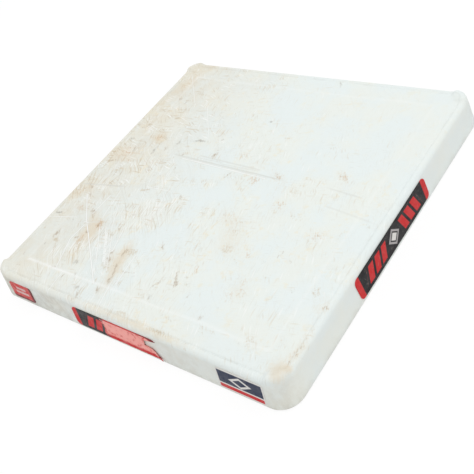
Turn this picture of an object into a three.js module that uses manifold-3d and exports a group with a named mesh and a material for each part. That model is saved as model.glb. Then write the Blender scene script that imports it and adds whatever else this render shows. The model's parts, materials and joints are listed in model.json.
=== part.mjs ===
// A baseball base: a moulded rubber cover over a foam core, closed below by a steel plate
// that carries a square stanchion. Sizes are millimetres, +Z is up. The origin is the
// middle of the underside, at ground level on the stanchion's axis. The front faces -Y.

import * as THREE from 'three';
import { mergeVertices } from 'three/addons/utils/BufferGeometryUtils.js';
import Module from 'manifold-3d';

const wasm = await Module();
wasm.setup();

// Rubber cover
const SIDE = 381; // outer width and depth
const HEIGHT = 33; // ground to the top panel
const WALL_LEAN = 5.5; // how far a wall leans inwards from the ground to the top
const CORNER_RADIUS = 22; // upright corners, seen from above on the ground
const RIM_RADIUS = 5; // rounding between a wall and the top
const RIM_WIDTH = 5; // top of the wall to the groove inside the rim
const GROOVE_WIDTH = 3;
const GROOVE_DEPTH = 0.5;
const EAR_RISE = 3; // how far a corner ear stands above the rim
const EAR_RUN = 4; // how far an ear runs along a side past the round corner
const EAR_RAMP = 7; // length along the rim in which an ear rises
const EAR_FADE = 8; // how far an ear reaches inwards past the groove
const FOOT_RADIUS = 3; // rounding between a wall and the underside
const FOOT_WIDTH = 20; // rubber on the ground, foot of the wall to the plate's rebate
const WALL_THICKNESS = 33.5; // solid rubber edge, foot of the wall to the foam pocket
const SKIN_THICKNESS = 6; // top panel over the foam
const LIP_THICKNESS = 5; // inner lip between the plate and the clamp bars
const LIP_REACH = 20; // how far the lip stands into the pocket
const POCKET_CORNER = 8; // upright corners of the pocket and of the lip

// Base plate and clamp bars
const PLATE_RECESS = 1; // plate's underside above the ground
const PLATE_THICKNESS = 3;
const PLATE_CORNER = 8;
const BAR_THICKNESS = 5;
const BAR_MARGIN = 2; // lip left free on either side of a bar
const BAR_END_GAP = 1; // between a side bar and the front or back bar

// Countersunk plate screws
const SCREWS_PER_BAR = 3;
const SCREW_RADIUS = 2.4;
const SCREW_HEAD_RADIUS = 4.6;
const SCREW_END_MARGIN = 31; // outer screw to the end of a side bar
const RECESS_LENGTH = 5; // cross recess in a screw head
const RECESS_WIDTH = 1.1;
const RECESS_DEPTH = 1.4;

// Stanchion
const TUBE_SIDE = 25.4;
const TUBE_WALL = 3;
const TUBE_CORNER = 2.5;
const TUBE_REACH = 89; // ground level to the lower end of the plug
const FLANGE_SIDE = 100;
const FLANGE_THICKNESS = 6;
const FLANGE_CORNER = 6;
const PLUG_CAP = 4; // closed end below the tube
const PLUG_TAPER = 2; // how far the cap narrows on each side
const PLUG_STEM = 14; // length held inside the tube

// Flange bolts, washers and lock nuts
const BOLT_RADIUS = 3.2;
const BOLT_HEAD_RADIUS = 6;
const BOLT_EDGE = 16; // bolt axis to the edge of the flange
const BOLT_PROJECTION = 2; // thread showing above the nut
const SOCKET_RADIUS = 2.3; // hexagon socket, across its corners
const SOCKET_DEPTH = 1.8;
const WASHER_RADIUS = 8;
const WASHER_THICKNESS = 1.6;
const NUT_RADIUS = 6.4; // across its corners
const NUT_HEX_HEIGHT = 5;
const NUT_COLLAR_RADIUS = 5;
const NUT_COLLAR_HEIGHT = 2;

// Labels on the walls
const LABEL_THICKNESS = 0.4;
const LABEL_CORNER = 3;
const STRIP_WIDTH = 135;
const STRIP_HEIGHT = 23;
const STRIP_CORNER = 5;
const FRONT_STRIP_SHIFT = 4; // front strip's middle, to the right of the wall's middle
const SIDE_STRIP_SHIFT = -2; // side strip's middle, towards the front
const CORNER_LABEL_WIDTH = 35;
const CORNER_LABEL_HEIGHT = 20;
const CORNER_LABEL_GAP = 4.5; // corner label's left end to the start of the round corner
const BADGE_WIDTH = 49;
const BADGE_HEIGHT = 24;
const BADGE_GAP = 1.5; // badge's right end to the start of the round corner
const TEAR_TIP = 20; // torn strip's upper tip to its former end
const TEAR_TIP_HEIGHT = 3; // width of the sliver left along the upper edge
const TEAR_BITE = 36; // deepest point of the tear to the former end
const TEAR_SHOULDER = 28; // where the tear turns down again to the former end
const TEAR_FOOT = 18; // torn strip's lower tip to its former end

// Clearances
const SEAT_GAP = 0.3; // between pieces that rest on each other
const PLATE_CLEARANCE = 0.5; // round the plate in its rebate, and round the tube in the plate
const HOLE_CLEARANCE = 0.5; // round a screw or bolt in its hole
const WELL_CLEARANCE = 1.5; // foam round the flange and the nuts

// Facets
const ARC_STEPS = 8; // in a quarter turn of an upright corner
const RIM_STEPS = 4;
const FOOT_STEPS = 2;
const ROUND_SEGMENTS = 16; // round a screw, bolt or hole

// Places that follow from the sizes above
const lean = Math.atan2(WALL_LEAN, HEIGHT); // a wall's angle from upright
const footLoss = FOOT_RADIUS * ((1 + Math.sin(lean)) / Math.cos(lean) - 1);
const half = SIDE / 2 + footLoss; // middle to a wall's slope, drawn on down to the ground
const pocketHalf = half - WALL_THICKNESS;
const lipHalf = pocketHalf - LIP_REACH;
const rebateHalf = half - FOOT_WIDTH;
const plateHalf = rebateHalf - PLATE_CLEARANCE;
const ceiling = HEIGHT - SKIN_THICKNESS;
const plateTop = PLATE_RECESS + PLATE_THICKNESS;
const lipBottom = plateTop + SEAT_GAP;
const lipTop = lipBottom + LIP_THICKNESS;
const barBottom = lipTop + SEAT_GAP;
const barTop = barBottom + BAR_THICKNESS;
const barLine = pocketHalf - LIP_REACH / 2;
const barWidth = LIP_REACH - 2 * BAR_MARGIN;
const sideBarHalf = barLine - barWidth / 2 - BAR_END_GAP;
const frontBarHalf = pocketHalf - POCKET_CORNER;
const screwReach = sideBarHalf - SCREW_END_MARGIN;
const flangeBottom = plateTop + SEAT_GAP;
const flangeTop = flangeBottom + FLANGE_THICKNESS;
const boltLine = FLANGE_SIDE / 2 - BOLT_EDGE;
const washerBottom = flangeTop + SEAT_GAP;
const nutBottom = washerBottom + WASHER_THICKNESS + SEAT_GAP;
const nutTop = nutBottom + NUT_HEX_HEIGHT + NUT_COLLAR_HEIGHT;
const boltTip = nutTop + BOLT_PROJECTION;
const plugBottom = -TUBE_REACH;
const tubeBottom = plugBottom + PLUG_CAP + SEAT_GAP;
const flatHalf = half - CORNER_RADIUS; // half of a wall's flat stretch
const slopeStart = FOOT_RADIUS * (1 + Math.sin(lean)); // where the foot's rounding ends
const slopeEnd = HEIGHT - RIM_RADIUS * (1 - Math.sin(lean)); // where the rim's rounding starts
const slopeMiddle = (slopeStart + slopeEnd) / 2 / Math.cos(lean); // up the wall from the ground

// Finishes
function finish(color, roughness, metalness) {
  return new THREE.MeshStandardMaterial({ color, roughness, metalness });
}
const whiteRubber = finish(0xeaeeea, 0.6, 0);
const paleFoam = finish(0xd8cca4, 0.95, 0);
const galvanisedSteel = finish(0x9aa1a5, 0.5, 0.9);
const plainSteel = finish(0x7f8488, 0.45, 0.95);
const zincPlate = finish(0xb9bab2, 0.35, 1);
const blackPlastic = finish(0x1d1e20, 0.5, 0);
const redVinyl = finish(0xb5343a, 0.4, 0);
const blackVinyl = finish(0x232123, 0.4, 0);
const navyVinyl = finish(0x232f55, 0.4, 0);

// A closed solid for cutting and joining: shared corners merged, collapsed faces dropped
function solidOf(geometry) {
  const bare = geometry.clone();
  bare.deleteAttribute('normal');
  bare.deleteAttribute('uv');
  const merged = mergeVertices(bare);
  const corners = merged.index.array;
  const kept = [];
  for (let i = 0; i < corners.length; i += 3) {
    const [a, b, c] = corners.slice(i, i + 3);
    if (a !== b && b !== c && c !== a) kept.push(a, b, c);
  }
  const vertProperties = new Float32Array(merged.attributes.position.array);
  const triVerts = new Uint32Array(kept);
  return new wasm.Manifold(new wasm.Mesh({ numProp: 3, vertProperties, triVerts }));
}

function geometryOf(solid) {
  const { vertProperties, triVerts } = solid.getMesh();
  const geometry = new THREE.BufferGeometry();
  geometry.setAttribute('position', new THREE.BufferAttribute(vertProperties, 3));
  geometry.setIndex(new THREE.BufferAttribute(triVerts, 1));
  geometry.computeVertexNormals();
  return geometry;
}

// The geometry left when every tool has been cut out of a body
function cut(body, tools) {
  const left = tools.reduce((solid, tool) => solid.subtract(solidOf(tool)), solidOf(body));
  return geometryOf(left);
}

// Points of a rounded square seen from above, counter-clockwise. Each corner has its arc and
// one more point on either side, where its ear ends. The ear rises along the wall's lean.
function squareRing(halfWidth, radius, height, earWeight = 0) {
  const centre = halfWidth - radius;
  const arcLength = (CORNER_RADIUS * Math.PI) / 2;
  const points = [];
  for (let quarter = 0; quarter < 4; quarter += 1) {
    const corner = [[centre + radius, centre - EAR_RUN, 0]];
    for (let step = 0; step <= ARC_STEPS; step += 1) {
      const angle = ((step / ARC_STEPS) * Math.PI) / 2;
      const fromEnd = (Math.min(step, ARC_STEPS - step) / ARC_STEPS) * arcLength;
      const ear = THREE.MathUtils.smoothstep(EAR_RUN + fromEnd, 0, EAR_RAMP);
      const rise = ear * earWeight * EAR_RISE;
      const reach = radius - rise * Math.tan(lean);
      corner.push([centre + reach * Math.cos(angle), centre + reach * Math.sin(angle), rise]);
    }
    corner.push([centre - EAR_RUN, centre + radius, 0]);
    for (const [x, y, rise] of corner) {
      points.push(new THREE.Vector3(...quarterTurn(x, y, quarter), height + rise));
    }
  }
  return points;
}

// A point turned about Z by whole quarter turns
function quarterTurn(x, y, quarters) {
  return [[x, y], [-y, x], [-x, -y], [y, -x]][quarters % 4];
}

// A closed body from rings of equal length, from its top centre outwards, down and in again
function loft(topHeight, rings, bottomHeight) {
  const count = rings[0].length;
  const points = [new THREE.Vector3(0, 0, topHeight), ...rings.flat()];
  const last = points.length;
  points.push(new THREE.Vector3(0, 0, bottomHeight));
  const faces = [];
  for (let i = 0; i < count; i += 1) {
    const next = (i + 1) % count;
    faces.push(0, 1 + i, 1 + next);
    for (let ring = 0; ring + 1 < rings.length; ring += 1) {
      const inner = 1 + ring * count;
      const outer = inner + count;
      faces.push(inner + i, outer + i, outer + next);
      faces.push(inner + i, outer + next, inner + next);
    }
    const end = 1 + (rings.length - 1) * count;
    faces.push(end + i, last, end + next);
  }
  const geometry = new THREE.BufferGeometry().setFromPoints(points);
  geometry.setIndex(faces);
  geometry.computeVertexNormals();
  return geometry;
}

// A body turned about Z from a profile of [radius, height] points, from the bottom up
function turned(profile) {
  const points = profile.map(([radius, height]) => new THREE.Vector2(radius, height));
  const geometry = new THREE.LatheGeometry(points, ROUND_SEGMENTS);
  return geometry.rotateX(Math.PI / 2);
}

// An outline raised from one height to another, in one or more equal steps
function prism(outline, bottom, top, steps = 1) {
  const settings = { depth: top - bottom, steps, bevelEnabled: false, curveSegments: ARC_STEPS };
  return new THREE.ExtrudeGeometry(outline, settings).translate(0, 0, bottom);
}

function roundedRectangle(width, height, radius, path = new THREE.Shape()) {
  const x = width / 2 - radius;
  const y = height / 2 - radius;
  path.absarc(x, y, radius, 0, Math.PI / 2);
  path.absarc(-x, y, radius, Math.PI / 2, Math.PI);
  path.absarc(-x, -y, radius, Math.PI, 1.5 * Math.PI);
  path.absarc(x, -y, radius, 1.5 * Math.PI, 2 * Math.PI);
  return path;
}

function roundHole(radius, bottom, top) {
  return turned([[0, bottom], [radius, bottom], [radius, top], [0, top]]);
}

// A 90 degree countersunk hole from the plate's underside up to a height, with a deeper mouth
// so that the cut passes clear through the plate's face
function countersunkHole(shankRadius, headRadius, top) {
  const mouth = PLATE_RECESS - HOLE_CLEARANCE;
  const wide = headRadius + HOLE_CLEARANCE;
  const narrow = shankRadius + HOLE_CLEARANCE;
  const neck = PLATE_RECESS + wide - narrow;
  return turned([[0, mouth], [wide, mouth], [wide, PLATE_RECESS], [narrow, neck], [narrow, top], [0, top]]);
}

// A countersunk fastener, its head level with the plate's underside and a recess cut in it
function countersunkFastener(shankRadius, headRadius, tip, recess) {
  const neck = PLATE_RECESS + headRadius - shankRadius;
  const chamfer = shankRadius / 3;
  const profile = [
    [0, PLATE_RECESS],
    [headRadius, PLATE_RECESS],
    [shankRadius, neck],
    [shankRadius, tip - chamfer],
    [shankRadius - chamfer, tip],
    [0, tip],
  ];
  return cut(turned(profile), recess);
}

// A cutter that starts just below the plate's underside and goes in by a depth
function recessBox(width, depth, deep) {
  const box = new THREE.BoxGeometry(width, depth, deep + SEAT_GAP);
  return box.translate(0, 0, PLATE_RECESS + (deep - SEAT_GAP) / 2);
}

const base = new THREE.Group();

function add(name, geometry, material, parent = base) {
  const mesh = new THREE.Mesh(geometry, material);
  mesh.name = name;
  parent.add(mesh);
  return mesh;
}

// Each screw's place, spread along the middle line of its bar, and each bolt's place
const screwPlaces = [];
const boltPlaces = [];
for (let quarter = 0; quarter < 4; quarter += 1) {
  boltPlaces.push(quarterTurn(boltLine, boltLine, quarter));
  for (let index = 0; index < SCREWS_PER_BAR; index += 1) {
    const along = THREE.MathUtils.lerp(-screwReach, screwReach, index / (SCREWS_PER_BAR - 1));
    screwPlaces.push(quarterTurn(along, -barLine, quarter));
  }
}

function holesAt(places, makeHole) {
  return places.map(([x, y]) => makeHole().translate(x, y, 0));
}

// A rounding that touches the leaning wall, as [distance inside the foot, height] points
function wallRounding(radius, centreHeight, startAngle, endAngle, steps) {
  const centreInset = (radius + centreHeight * Math.sin(lean)) / Math.cos(lean);
  const points = [];
  for (let step = 0; step <= steps; step += 1) {
    const angle = THREE.MathUtils.lerp(startAngle, endAngle, step / steps);
    points.push([centreInset - radius * Math.cos(angle), centreHeight + radius * Math.sin(angle)]);
  }
  return points;
}

// Rubber cover: top panel, groove, rounded rim with its ears, wall, foot, rebate, lip, pocket
function coverGeometry() {
  const groove = WALL_LEAN + RIM_WIDTH;
  const earReach = groove + GROOVE_WIDTH + EAR_FADE;
  const inset = (distance, height, earWeight) => {
    const radius = Math.max(CORNER_RADIUS - distance, FOOT_RADIUS);
    return squareRing(half - distance, radius, height, earWeight);
  };
  const topRing = (distance, height) => {
    const earWeight = 1 - THREE.MathUtils.smoothstep(distance, groove, earReach);
    return inset(distance, height, earWeight);
  };
  const rings = [
    topRing(earReach, HEIGHT),
    topRing(groove + GROOVE_WIDTH, HEIGHT),
    topRing(groove + GROOVE_WIDTH / 2, HEIGHT - GROOVE_DEPTH),
    topRing(groove, HEIGHT),
  ];
  const rim = wallRounding(RIM_RADIUS, HEIGHT - RIM_RADIUS, Math.PI / 2, lean, RIM_STEPS);
  const [slopeFoot] = wallRounding(FOOT_RADIUS, FOOT_RADIUS, lean, 0, 1);
  const foot = wallRounding(FOOT_RADIUS, FOOT_RADIUS, 0, -Math.PI / 2, FOOT_STEPS);
  for (const [distance, height] of rim) rings.push(inset(distance, height, 1));
  for (const [distance, height] of [slopeFoot, ...foot]) rings.push(inset(distance, height, 0));
  const rebateCorner = PLATE_CORNER + PLATE_CLEARANCE;
  rings.push(squareRing(rebateHalf, rebateCorner, 0));
  rings.push(squareRing(rebateHalf, rebateCorner, lipBottom));
  rings.push(squareRing(lipHalf, POCKET_CORNER, lipBottom));
  rings.push(squareRing(lipHalf, POCKET_CORNER, lipTop));
  rings.push(squareRing(pocketHalf, POCKET_CORNER, lipTop));
  rings.push(squareRing(pocketHalf, POCKET_CORNER, ceiling));
  const shell = loft(HEIGHT, rings, ceiling);
  const screwHole = () => roundHole(SCREW_RADIUS + HOLE_CLEARANCE, plateTop, barBottom);
  return cut(shell, holesAt(screwPlaces, screwHole));
}
add('rubber_cover', coverGeometry(), whiteRubber);

// Foam core: a block that rests on the bars and reaches down inside them to the plate, with a
// pocket for the stanchion's flange and a well for each nut
function foamGeometry() {
  const upper = pocketHalf - SEAT_GAP;
  const lower = lipHalf - SEAT_GAP;
  const bottom = plateTop + SEAT_GAP;
  const ledge = barTop + SEAT_GAP;
  const top = ceiling - SEAT_GAP;
  const block = loft(top, [
    squareRing(upper, POCKET_CORNER, top),
    squareRing(upper, POCKET_CORNER, ledge),
    squareRing(lower, POCKET_CORNER, ledge),
    squareRing(lower, POCKET_CORNER, bottom),
  ], bottom);
  const pocketSide = FLANGE_SIDE + 2 * WELL_CLEARANCE;
  const pocket = roundedRectangle(pocketSide, pocketSide, FLANGE_CORNER);
  const well = () => roundHole(WASHER_RADIUS + WELL_CLEARANCE, bottom, boltTip + WELL_CLEARANCE);
  const wells = holesAt(boltPlaces, well);
  return cut(block, [prism(pocket, bottom - SEAT_GAP, flangeTop + SEAT_GAP), ...wells]);
}
add('foam_core', foamGeometry(), paleFoam);

// Base plate, with its countersunk holes and the square opening for the tube
function plateGeometry() {
  const outline = roundedRectangle(2 * plateHalf, 2 * plateHalf, PLATE_CORNER);
  const opening = TUBE_SIDE + 2 * PLATE_CLEARANCE;
  outline.holes.push(roundedRectangle(opening, opening, TUBE_CORNER, new THREE.Path()));
  const through = plateTop + SEAT_GAP;
  const screwHole = () => countersunkHole(SCREW_RADIUS, SCREW_HEAD_RADIUS, through);
  const boltHole = () => countersunkHole(BOLT_RADIUS, BOLT_HEAD_RADIUS, through);
  const holes = [...holesAt(screwPlaces, screwHole), ...holesAt(boltPlaces, boltHole)];
  return cut(prism(outline, PLATE_RECESS, plateTop), holes);
}
add('base_plate', plateGeometry(), galvanisedSteel);

// Clamp bars: the front and back ones run past the side ones
['front', 'right', 'back', 'left'].forEach((wall, quarter) => {
  const isSide = quarter % 2 === 1;
  const length = 2 * (isSide ? sideBarHalf : frontBarHalf);
  const bar = new THREE.BoxGeometry(length, barWidth, BAR_THICKNESS);
  bar.translate(0, -barLine, barBottom + BAR_THICKNESS / 2);
  const places = screwPlaces.slice(0, SCREWS_PER_BAR);
  const screwHole = () => roundHole(SCREW_RADIUS + HOLE_CLEARANCE, lipTop, barTop + SEAT_GAP);
  const mesh = add(`clamp_bar_${wall}`, cut(bar, holesAt(places, screwHole)), plainSteel);
  mesh.rotation.z = (quarter * Math.PI) / 2;
});

// Plate screws, with a cross recess
screwPlaces.forEach(([x, y], index) => {
  const recess = [
    recessBox(RECESS_LENGTH, RECESS_WIDTH, RECESS_DEPTH),
    recessBox(RECESS_WIDTH, RECESS_LENGTH, RECESS_DEPTH),
  ];
  const screw = countersunkFastener(SCREW_RADIUS, SCREW_HEAD_RADIUS, barTop, recess);
  add(`plate_screw_${index + 1}`, screw, zincPlate).position.set(x, y, 0);
});

// Stanchion flange: a plate on top of the base plate, round the head of the tube
function flangeGeometry() {
  const outline = roundedRectangle(FLANGE_SIDE, FLANGE_SIDE, FLANGE_CORNER);
  const opening = TUBE_SIDE + 2 * SEAT_GAP;
  outline.holes.push(roundedRectangle(opening, opening, TUBE_CORNER + SEAT_GAP, new THREE.Path()));
  const bolt = () => roundHole(BOLT_RADIUS + HOLE_CLEARANCE, plateTop, flangeTop + SEAT_GAP);
  return cut(prism(outline, flangeBottom, flangeTop), holesAt(boltPlaces, bolt));
}
add('stanchion_flange', flangeGeometry(), plainSteel);

// Tube: its lower half, which the ground anchor bears on, has faces of its own
const boreSide = TUBE_SIDE - 2 * TUBE_WALL;
const tubeOutline = roundedRectangle(TUBE_SIDE, TUBE_SIDE, TUBE_CORNER);
const boreCorner = TUBE_CORNER / 2;
tubeOutline.holes.push(roundedRectangle(boreSide, boreSide, boreCorner, new THREE.Path()));
add('stanchion_tube', prism(tubeOutline, tubeBottom, flangeTop, 2), galvanisedSteel);

// Plug: a tapered cap below the tube on a square stem inside it
function plugGeometry() {
  const stem = roundedRectangle(boreSide - 2 * SEAT_GAP, boreSide - 2 * SEAT_GAP, boreCorner);
  const capTop = plugBottom + PLUG_CAP;
  const wide = roundedRectangle(TUBE_SIDE, TUBE_SIDE, TUBE_CORNER);
  const cap = prism(wide, plugBottom, capTop);
  const place = cap.attributes.position;
  const narrowing = (TUBE_SIDE - 2 * PLUG_TAPER) / TUBE_SIDE;
  for (let i = 0; i < place.count; i += 1) {
    const scale = place.getZ(i) < capTop - PLUG_CAP / 2 ? narrowing : 1;
    place.setXY(i, place.getX(i) * scale, place.getY(i) * scale);
  }
  const body = solidOf(cap).add(solidOf(prism(stem, capTop - PLUG_CAP / 2, capTop + PLUG_STEM)));
  return geometryOf(body);
}
add('stanchion_plug', plugGeometry(), blackPlastic);

// Flange bolts with a hexagon socket, their washers and lock nuts
function nutGeometry() {
  const hexagon = new THREE.CylinderGeometry(NUT_RADIUS, NUT_RADIUS, NUT_HEX_HEIGHT, 6);
  hexagon.rotateX(Math.PI / 2);
  hexagon.translate(0, 0, nutBottom + NUT_HEX_HEIGHT / 2);
  const collar = roundHole(NUT_COLLAR_RADIUS, nutTop - NUT_COLLAR_HEIGHT - SEAT_GAP, nutTop);
  const bore = roundHole(BOLT_RADIUS + HOLE_CLEARANCE, nutBottom - SEAT_GAP, nutTop + SEAT_GAP);
  return geometryOf(solidOf(hexagon).add(solidOf(collar)).subtract(solidOf(bore)));
}
function washerGeometry() {
  const top = washerBottom + WASHER_THICKNESS;
  const disc = roundHole(WASHER_RADIUS, washerBottom, top);
  const bore = roundHole(BOLT_RADIUS + HOLE_CLEARANCE, washerBottom - SEAT_GAP, top + SEAT_GAP);
  return cut(disc, [bore]);
}
function socketCutter() {
  const deep = SOCKET_DEPTH + SEAT_GAP;
  const socket = new THREE.CylinderGeometry(SOCKET_RADIUS, SOCKET_RADIUS, deep, 6);
  socket.rotateX(Math.PI / 2);
  return socket.translate(0, 0, PLATE_RECESS + (SOCKET_DEPTH - SEAT_GAP) / 2);
}
boltPlaces.forEach(([x, y], index) => {
  const bolt = countersunkFastener(BOLT_RADIUS, BOLT_HEAD_RADIUS, boltTip, [socketCutter()]);
  add(`flange_bolt_${index + 1}`, bolt, zincPlate).position.set(x, y, 0);
  add(`flange_washer_${index + 1}`, washerGeometry(), zincPlate).position.set(x, y, 0);
  add(`flange_nut_${index + 1}`, nutGeometry(), zincPlate).position.set(x, y, 0);
});

// Labels: each lies flat on a leaning wall, midway up its slope
function addLabel(name, outline, along, material, wall) {
  const mesh = add(name, prism(outline, 0, LABEL_THICKNESS), material, wall);
  mesh.position.set(along, slopeMiddle, SEAT_GAP);
}

// The torn strip: whole at its left end, a sliver along the top and a lower tip at its right
function tornStrip() {
  const right = STRIP_WIDTH / 2;
  const top = STRIP_HEIGHT / 2;
  const inner = right - STRIP_CORNER;
  const outline = new THREE.Shape();
  outline.moveTo(right - TEAR_TIP, top);
  outline.absarc(-inner, top - STRIP_CORNER, STRIP_CORNER, Math.PI / 2, Math.PI);
  outline.absarc(-inner, STRIP_CORNER - top, STRIP_CORNER, Math.PI, 1.5 * Math.PI);
  outline.lineTo(right - TEAR_FOOT, -top);
  outline.lineTo(right - TEAR_SHOULDER, 0);
  outline.lineTo(right - TEAR_BITE, 0);
  outline.lineTo(right - TEAR_BITE, top - TEAR_TIP_HEIGHT);
  return outline;
}

// A wall's own frame: X along it, Y up its slope from the ground, Z out of it
function wallFrame(quarter) {
  const wall = new THREE.Group();
  const side = new THREE.Group();
  wall.position.y = -half;
  wall.rotation.x = Math.PI / 2 - lean;
  side.rotation.z = (quarter * Math.PI) / 2;
  base.add(side.add(wall));
  return wall;
}
const frontWall = wallFrame(0);
const rightWall = wallFrame(1);
const cornerLabel = roundedRectangle(CORNER_LABEL_WIDTH, CORNER_LABEL_HEIGHT, LABEL_CORNER);
const cornerLabelMiddle = CORNER_LABEL_GAP + CORNER_LABEL_WIDTH / 2 - flatHalf;
const badge = roundedRectangle(BADGE_WIDTH, BADGE_HEIGHT, LABEL_CORNER);
const badgeMiddle = flatHalf - BADGE_GAP - BADGE_WIDTH / 2;
const strip = roundedRectangle(STRIP_WIDTH, STRIP_HEIGHT, STRIP_CORNER);
addLabel('front_corner_label', cornerLabel, cornerLabelMiddle, redVinyl, frontWall);
addLabel('front_strip_label', tornStrip(), FRONT_STRIP_SHIFT, redVinyl, frontWall);
addLabel('front_badge_label', badge, badgeMiddle, navyVinyl, frontWall);
addLabel('side_strip_label', strip, SIDE_STRIP_SHIFT, blackVinyl, rightWall);

export default base;
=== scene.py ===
"""Looks of a white rubber baseball base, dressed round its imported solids.

Lengths are millimetres unless a name says otherwise, and MM turns them into Blender's metres.
The frame is the solids' own: +Z up, the ground at Z 0, the front wall towards -Y.
"""

import json
import logging
import math
from dataclasses import dataclass, field, replace
from enum import Enum
from typing import Any

import bpy
import numpy as np
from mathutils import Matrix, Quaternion, Vector


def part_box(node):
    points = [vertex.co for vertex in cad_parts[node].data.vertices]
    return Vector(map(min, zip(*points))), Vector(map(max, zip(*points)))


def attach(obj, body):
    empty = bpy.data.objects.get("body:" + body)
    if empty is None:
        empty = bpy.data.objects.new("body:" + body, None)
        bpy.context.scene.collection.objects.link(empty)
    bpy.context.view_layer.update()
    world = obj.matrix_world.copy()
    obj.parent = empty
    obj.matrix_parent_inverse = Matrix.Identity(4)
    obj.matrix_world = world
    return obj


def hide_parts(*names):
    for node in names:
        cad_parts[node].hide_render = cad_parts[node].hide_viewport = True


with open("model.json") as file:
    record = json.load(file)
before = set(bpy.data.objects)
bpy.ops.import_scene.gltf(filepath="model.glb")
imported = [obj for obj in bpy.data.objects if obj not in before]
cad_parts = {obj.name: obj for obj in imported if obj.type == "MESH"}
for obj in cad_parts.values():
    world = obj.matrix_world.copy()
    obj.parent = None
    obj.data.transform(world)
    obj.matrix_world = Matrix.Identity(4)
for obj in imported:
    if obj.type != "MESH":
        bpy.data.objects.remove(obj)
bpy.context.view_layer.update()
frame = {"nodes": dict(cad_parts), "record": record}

MM = 0.001
BODY = "root"
WAVE_SHORTENING = 0.75
WAVE_LOWERING = 0.85
WAVE_GAIN = 1.6
Array = np.ndarray
Colour = tuple[float, float, float, float]
Socket = bpy.types.NodeSocket
log = logging.getLogger("baseball_base")


def srgb(red: int, green: int, blue: int) -> Colour:
    """Turn a colour from 0 to 255, as a screen shows it, into a shader's linear colour.

    Args:
        red: Red share, from 0 to 255.
        green: Green share, from 0 to 255.
        blue: Blue share, from 0 to 255.

    Returns:
        The linear colour with an alpha of 1.
    """
    shares = np.array([red, green, blue]) / 255.0
    linear = np.where(shares <= 0.04045, shares / 12.92, ((shares + 0.055) / 1.055) ** 2.4)
    return (float(linear[0]), float(linear[1]), float(linear[2]), 1.0)


def smoothstep(low: float, high: float, value: Array) -> Array:
    """Ease from 0 at low to 1 at high along 3t² - 2t³.

    Args:
        low: Value at which the ease starts.
        high: Value at which it ends.
        value: Array of values.

    Returns:
        The eased array, from 0 to 1.
    """
    share = np.clip((value - low) / (high - low), 0.0, 1.0)
    return share * share * (3.0 - 2.0 * share)


def ripples(x: Array, y: Array, longest: float, count: int, seed: int) -> Array:
    """Add up plane waves of seeded direction and phase, each shorter and lower than the last.

    Args:
        x: First coordinate.
        y: Second coordinate.
        longest: Length of the longest wave.
        count: Number of waves.
        seed: Seed of the directions and phases.

    Returns:
        Heights between about -1 and 1.
    """
    draw = np.random.default_rng(seed)
    total = np.zeros(np.broadcast(x, y).shape)
    weight = 0.0
    for step in range(count):
        turn, phase = draw.uniform(0.0, 2.0 * math.pi, 2)
        length = longest * WAVE_SHORTENING**step
        share = WAVE_LOWERING**step
        along = x * math.cos(turn) + y * math.sin(turn)
        total += share * np.sin(2.0 * math.pi * along / length + phase)
        weight += share
    return total / weight * WAVE_GAIN


def make_piece(
    name: str, points: Array, faces: list[Array], sharp_angle: float = 40.0
) -> bpy.types.Object:
    """Make a smooth-shaded mesh object at the origin, with edges sharper than an angle kept sharp.

    Args:
        name: Name of the piece.
        points: Corners in millimetres, one row each.
        faces: Arrays of corner numbers, one row for each face.
        sharp_angle: Angle in degrees from which an edge is shaded sharp.

    Returns:
        The linked object.
    """
    mesh = bpy.data.meshes.new(name)
    mesh.from_pydata((points * MM).tolist(), [], [row for block in faces for row in block.tolist()])
    mesh.polygons.foreach_set("use_smooth", np.ones(len(mesh.polygons), bool))
    mesh.set_sharp_from_angle(angle=math.radians(sharp_angle))
    mesh.update()
    piece = bpy.data.objects.new(name, mesh)
    bpy.context.scene.collection.objects.link(piece)
    return piece


def set_attribute(piece: bpy.types.Object, name: str, values: Array) -> None:
    """Store a number or a vector for each vertex of a piece, under a name that its finish reads.

    Args:
        piece: The piece.
        name: Name of the attribute.
        values: One number, or one row of three numbers, for each vertex.
    """
    kind, key = ("FLOAT", "value") if values.ndim == 1 else ("FLOAT_VECTOR", "vector")
    layer = piece.data.attributes.new(name, kind, "POINT")
    layer.data.foreach_set(key, np.ascontiguousarray(values, dtype=np.float32).ravel())


def stand_in(piece: bpy.types.Object, material: bpy.types.Material, node: str) -> None:
    """Dress a piece and let it take the place of its solid.

    Args:
        piece: The piece.
        material: Its finish.
        node: Name of the solid that it stands for.
    """
    piece.data.materials.append(material)
    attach(piece, BODY)
    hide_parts(node)
    log.info("%s: %d faces", piece.name, len(piece.data.polygons))


def grid_quads(rows: int, columns: int, first: int = 0) -> Array:
    """Number the quads of a grid that is stored row by row, facing the side rows and columns turn to.

    Args:
        rows: Number of rows of points.
        columns: Number of points in a row.
        first: Number of the grid's first point.

    Returns:
        One row of four corner numbers for each quad.
    """
    number = first + np.arange(rows * columns).reshape(rows, columns)
    corners = (number[:-1, :-1], number[:-1, 1:], number[1:, 1:], number[1:, :-1])
    return np.stack([corner.ravel() for corner in corners], axis=1)


def ring_quads(inner: Array, outer: Array) -> Array:
    """Join two closed rings of equal length by a band of quads.

    Args:
        inner: Corner numbers of the first ring, counter-clockwise from above.
        outer: Corner numbers of the ring that lies further out or lower.

    Returns:
        One row of four corner numbers for each quad.
    """
    return np.stack([inner, outer, np.roll(outer, -1), np.roll(inner, -1)], axis=1)


def grid_border(rows: int, columns: int) -> Array:
    """Number the outer points of a grid that is stored row by row, once round.

    Args:
        rows: Number of rows of points.
        columns: Number of points in a row.

    Returns:
        Point numbers along the first row, the last column, and back.
    """
    number = np.arange(rows * columns).reshape(rows, columns)
    return np.concatenate([number[0, :-1], number[:-1, -1], number[-1, :0:-1], number[:0:-1, 0]])


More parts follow.
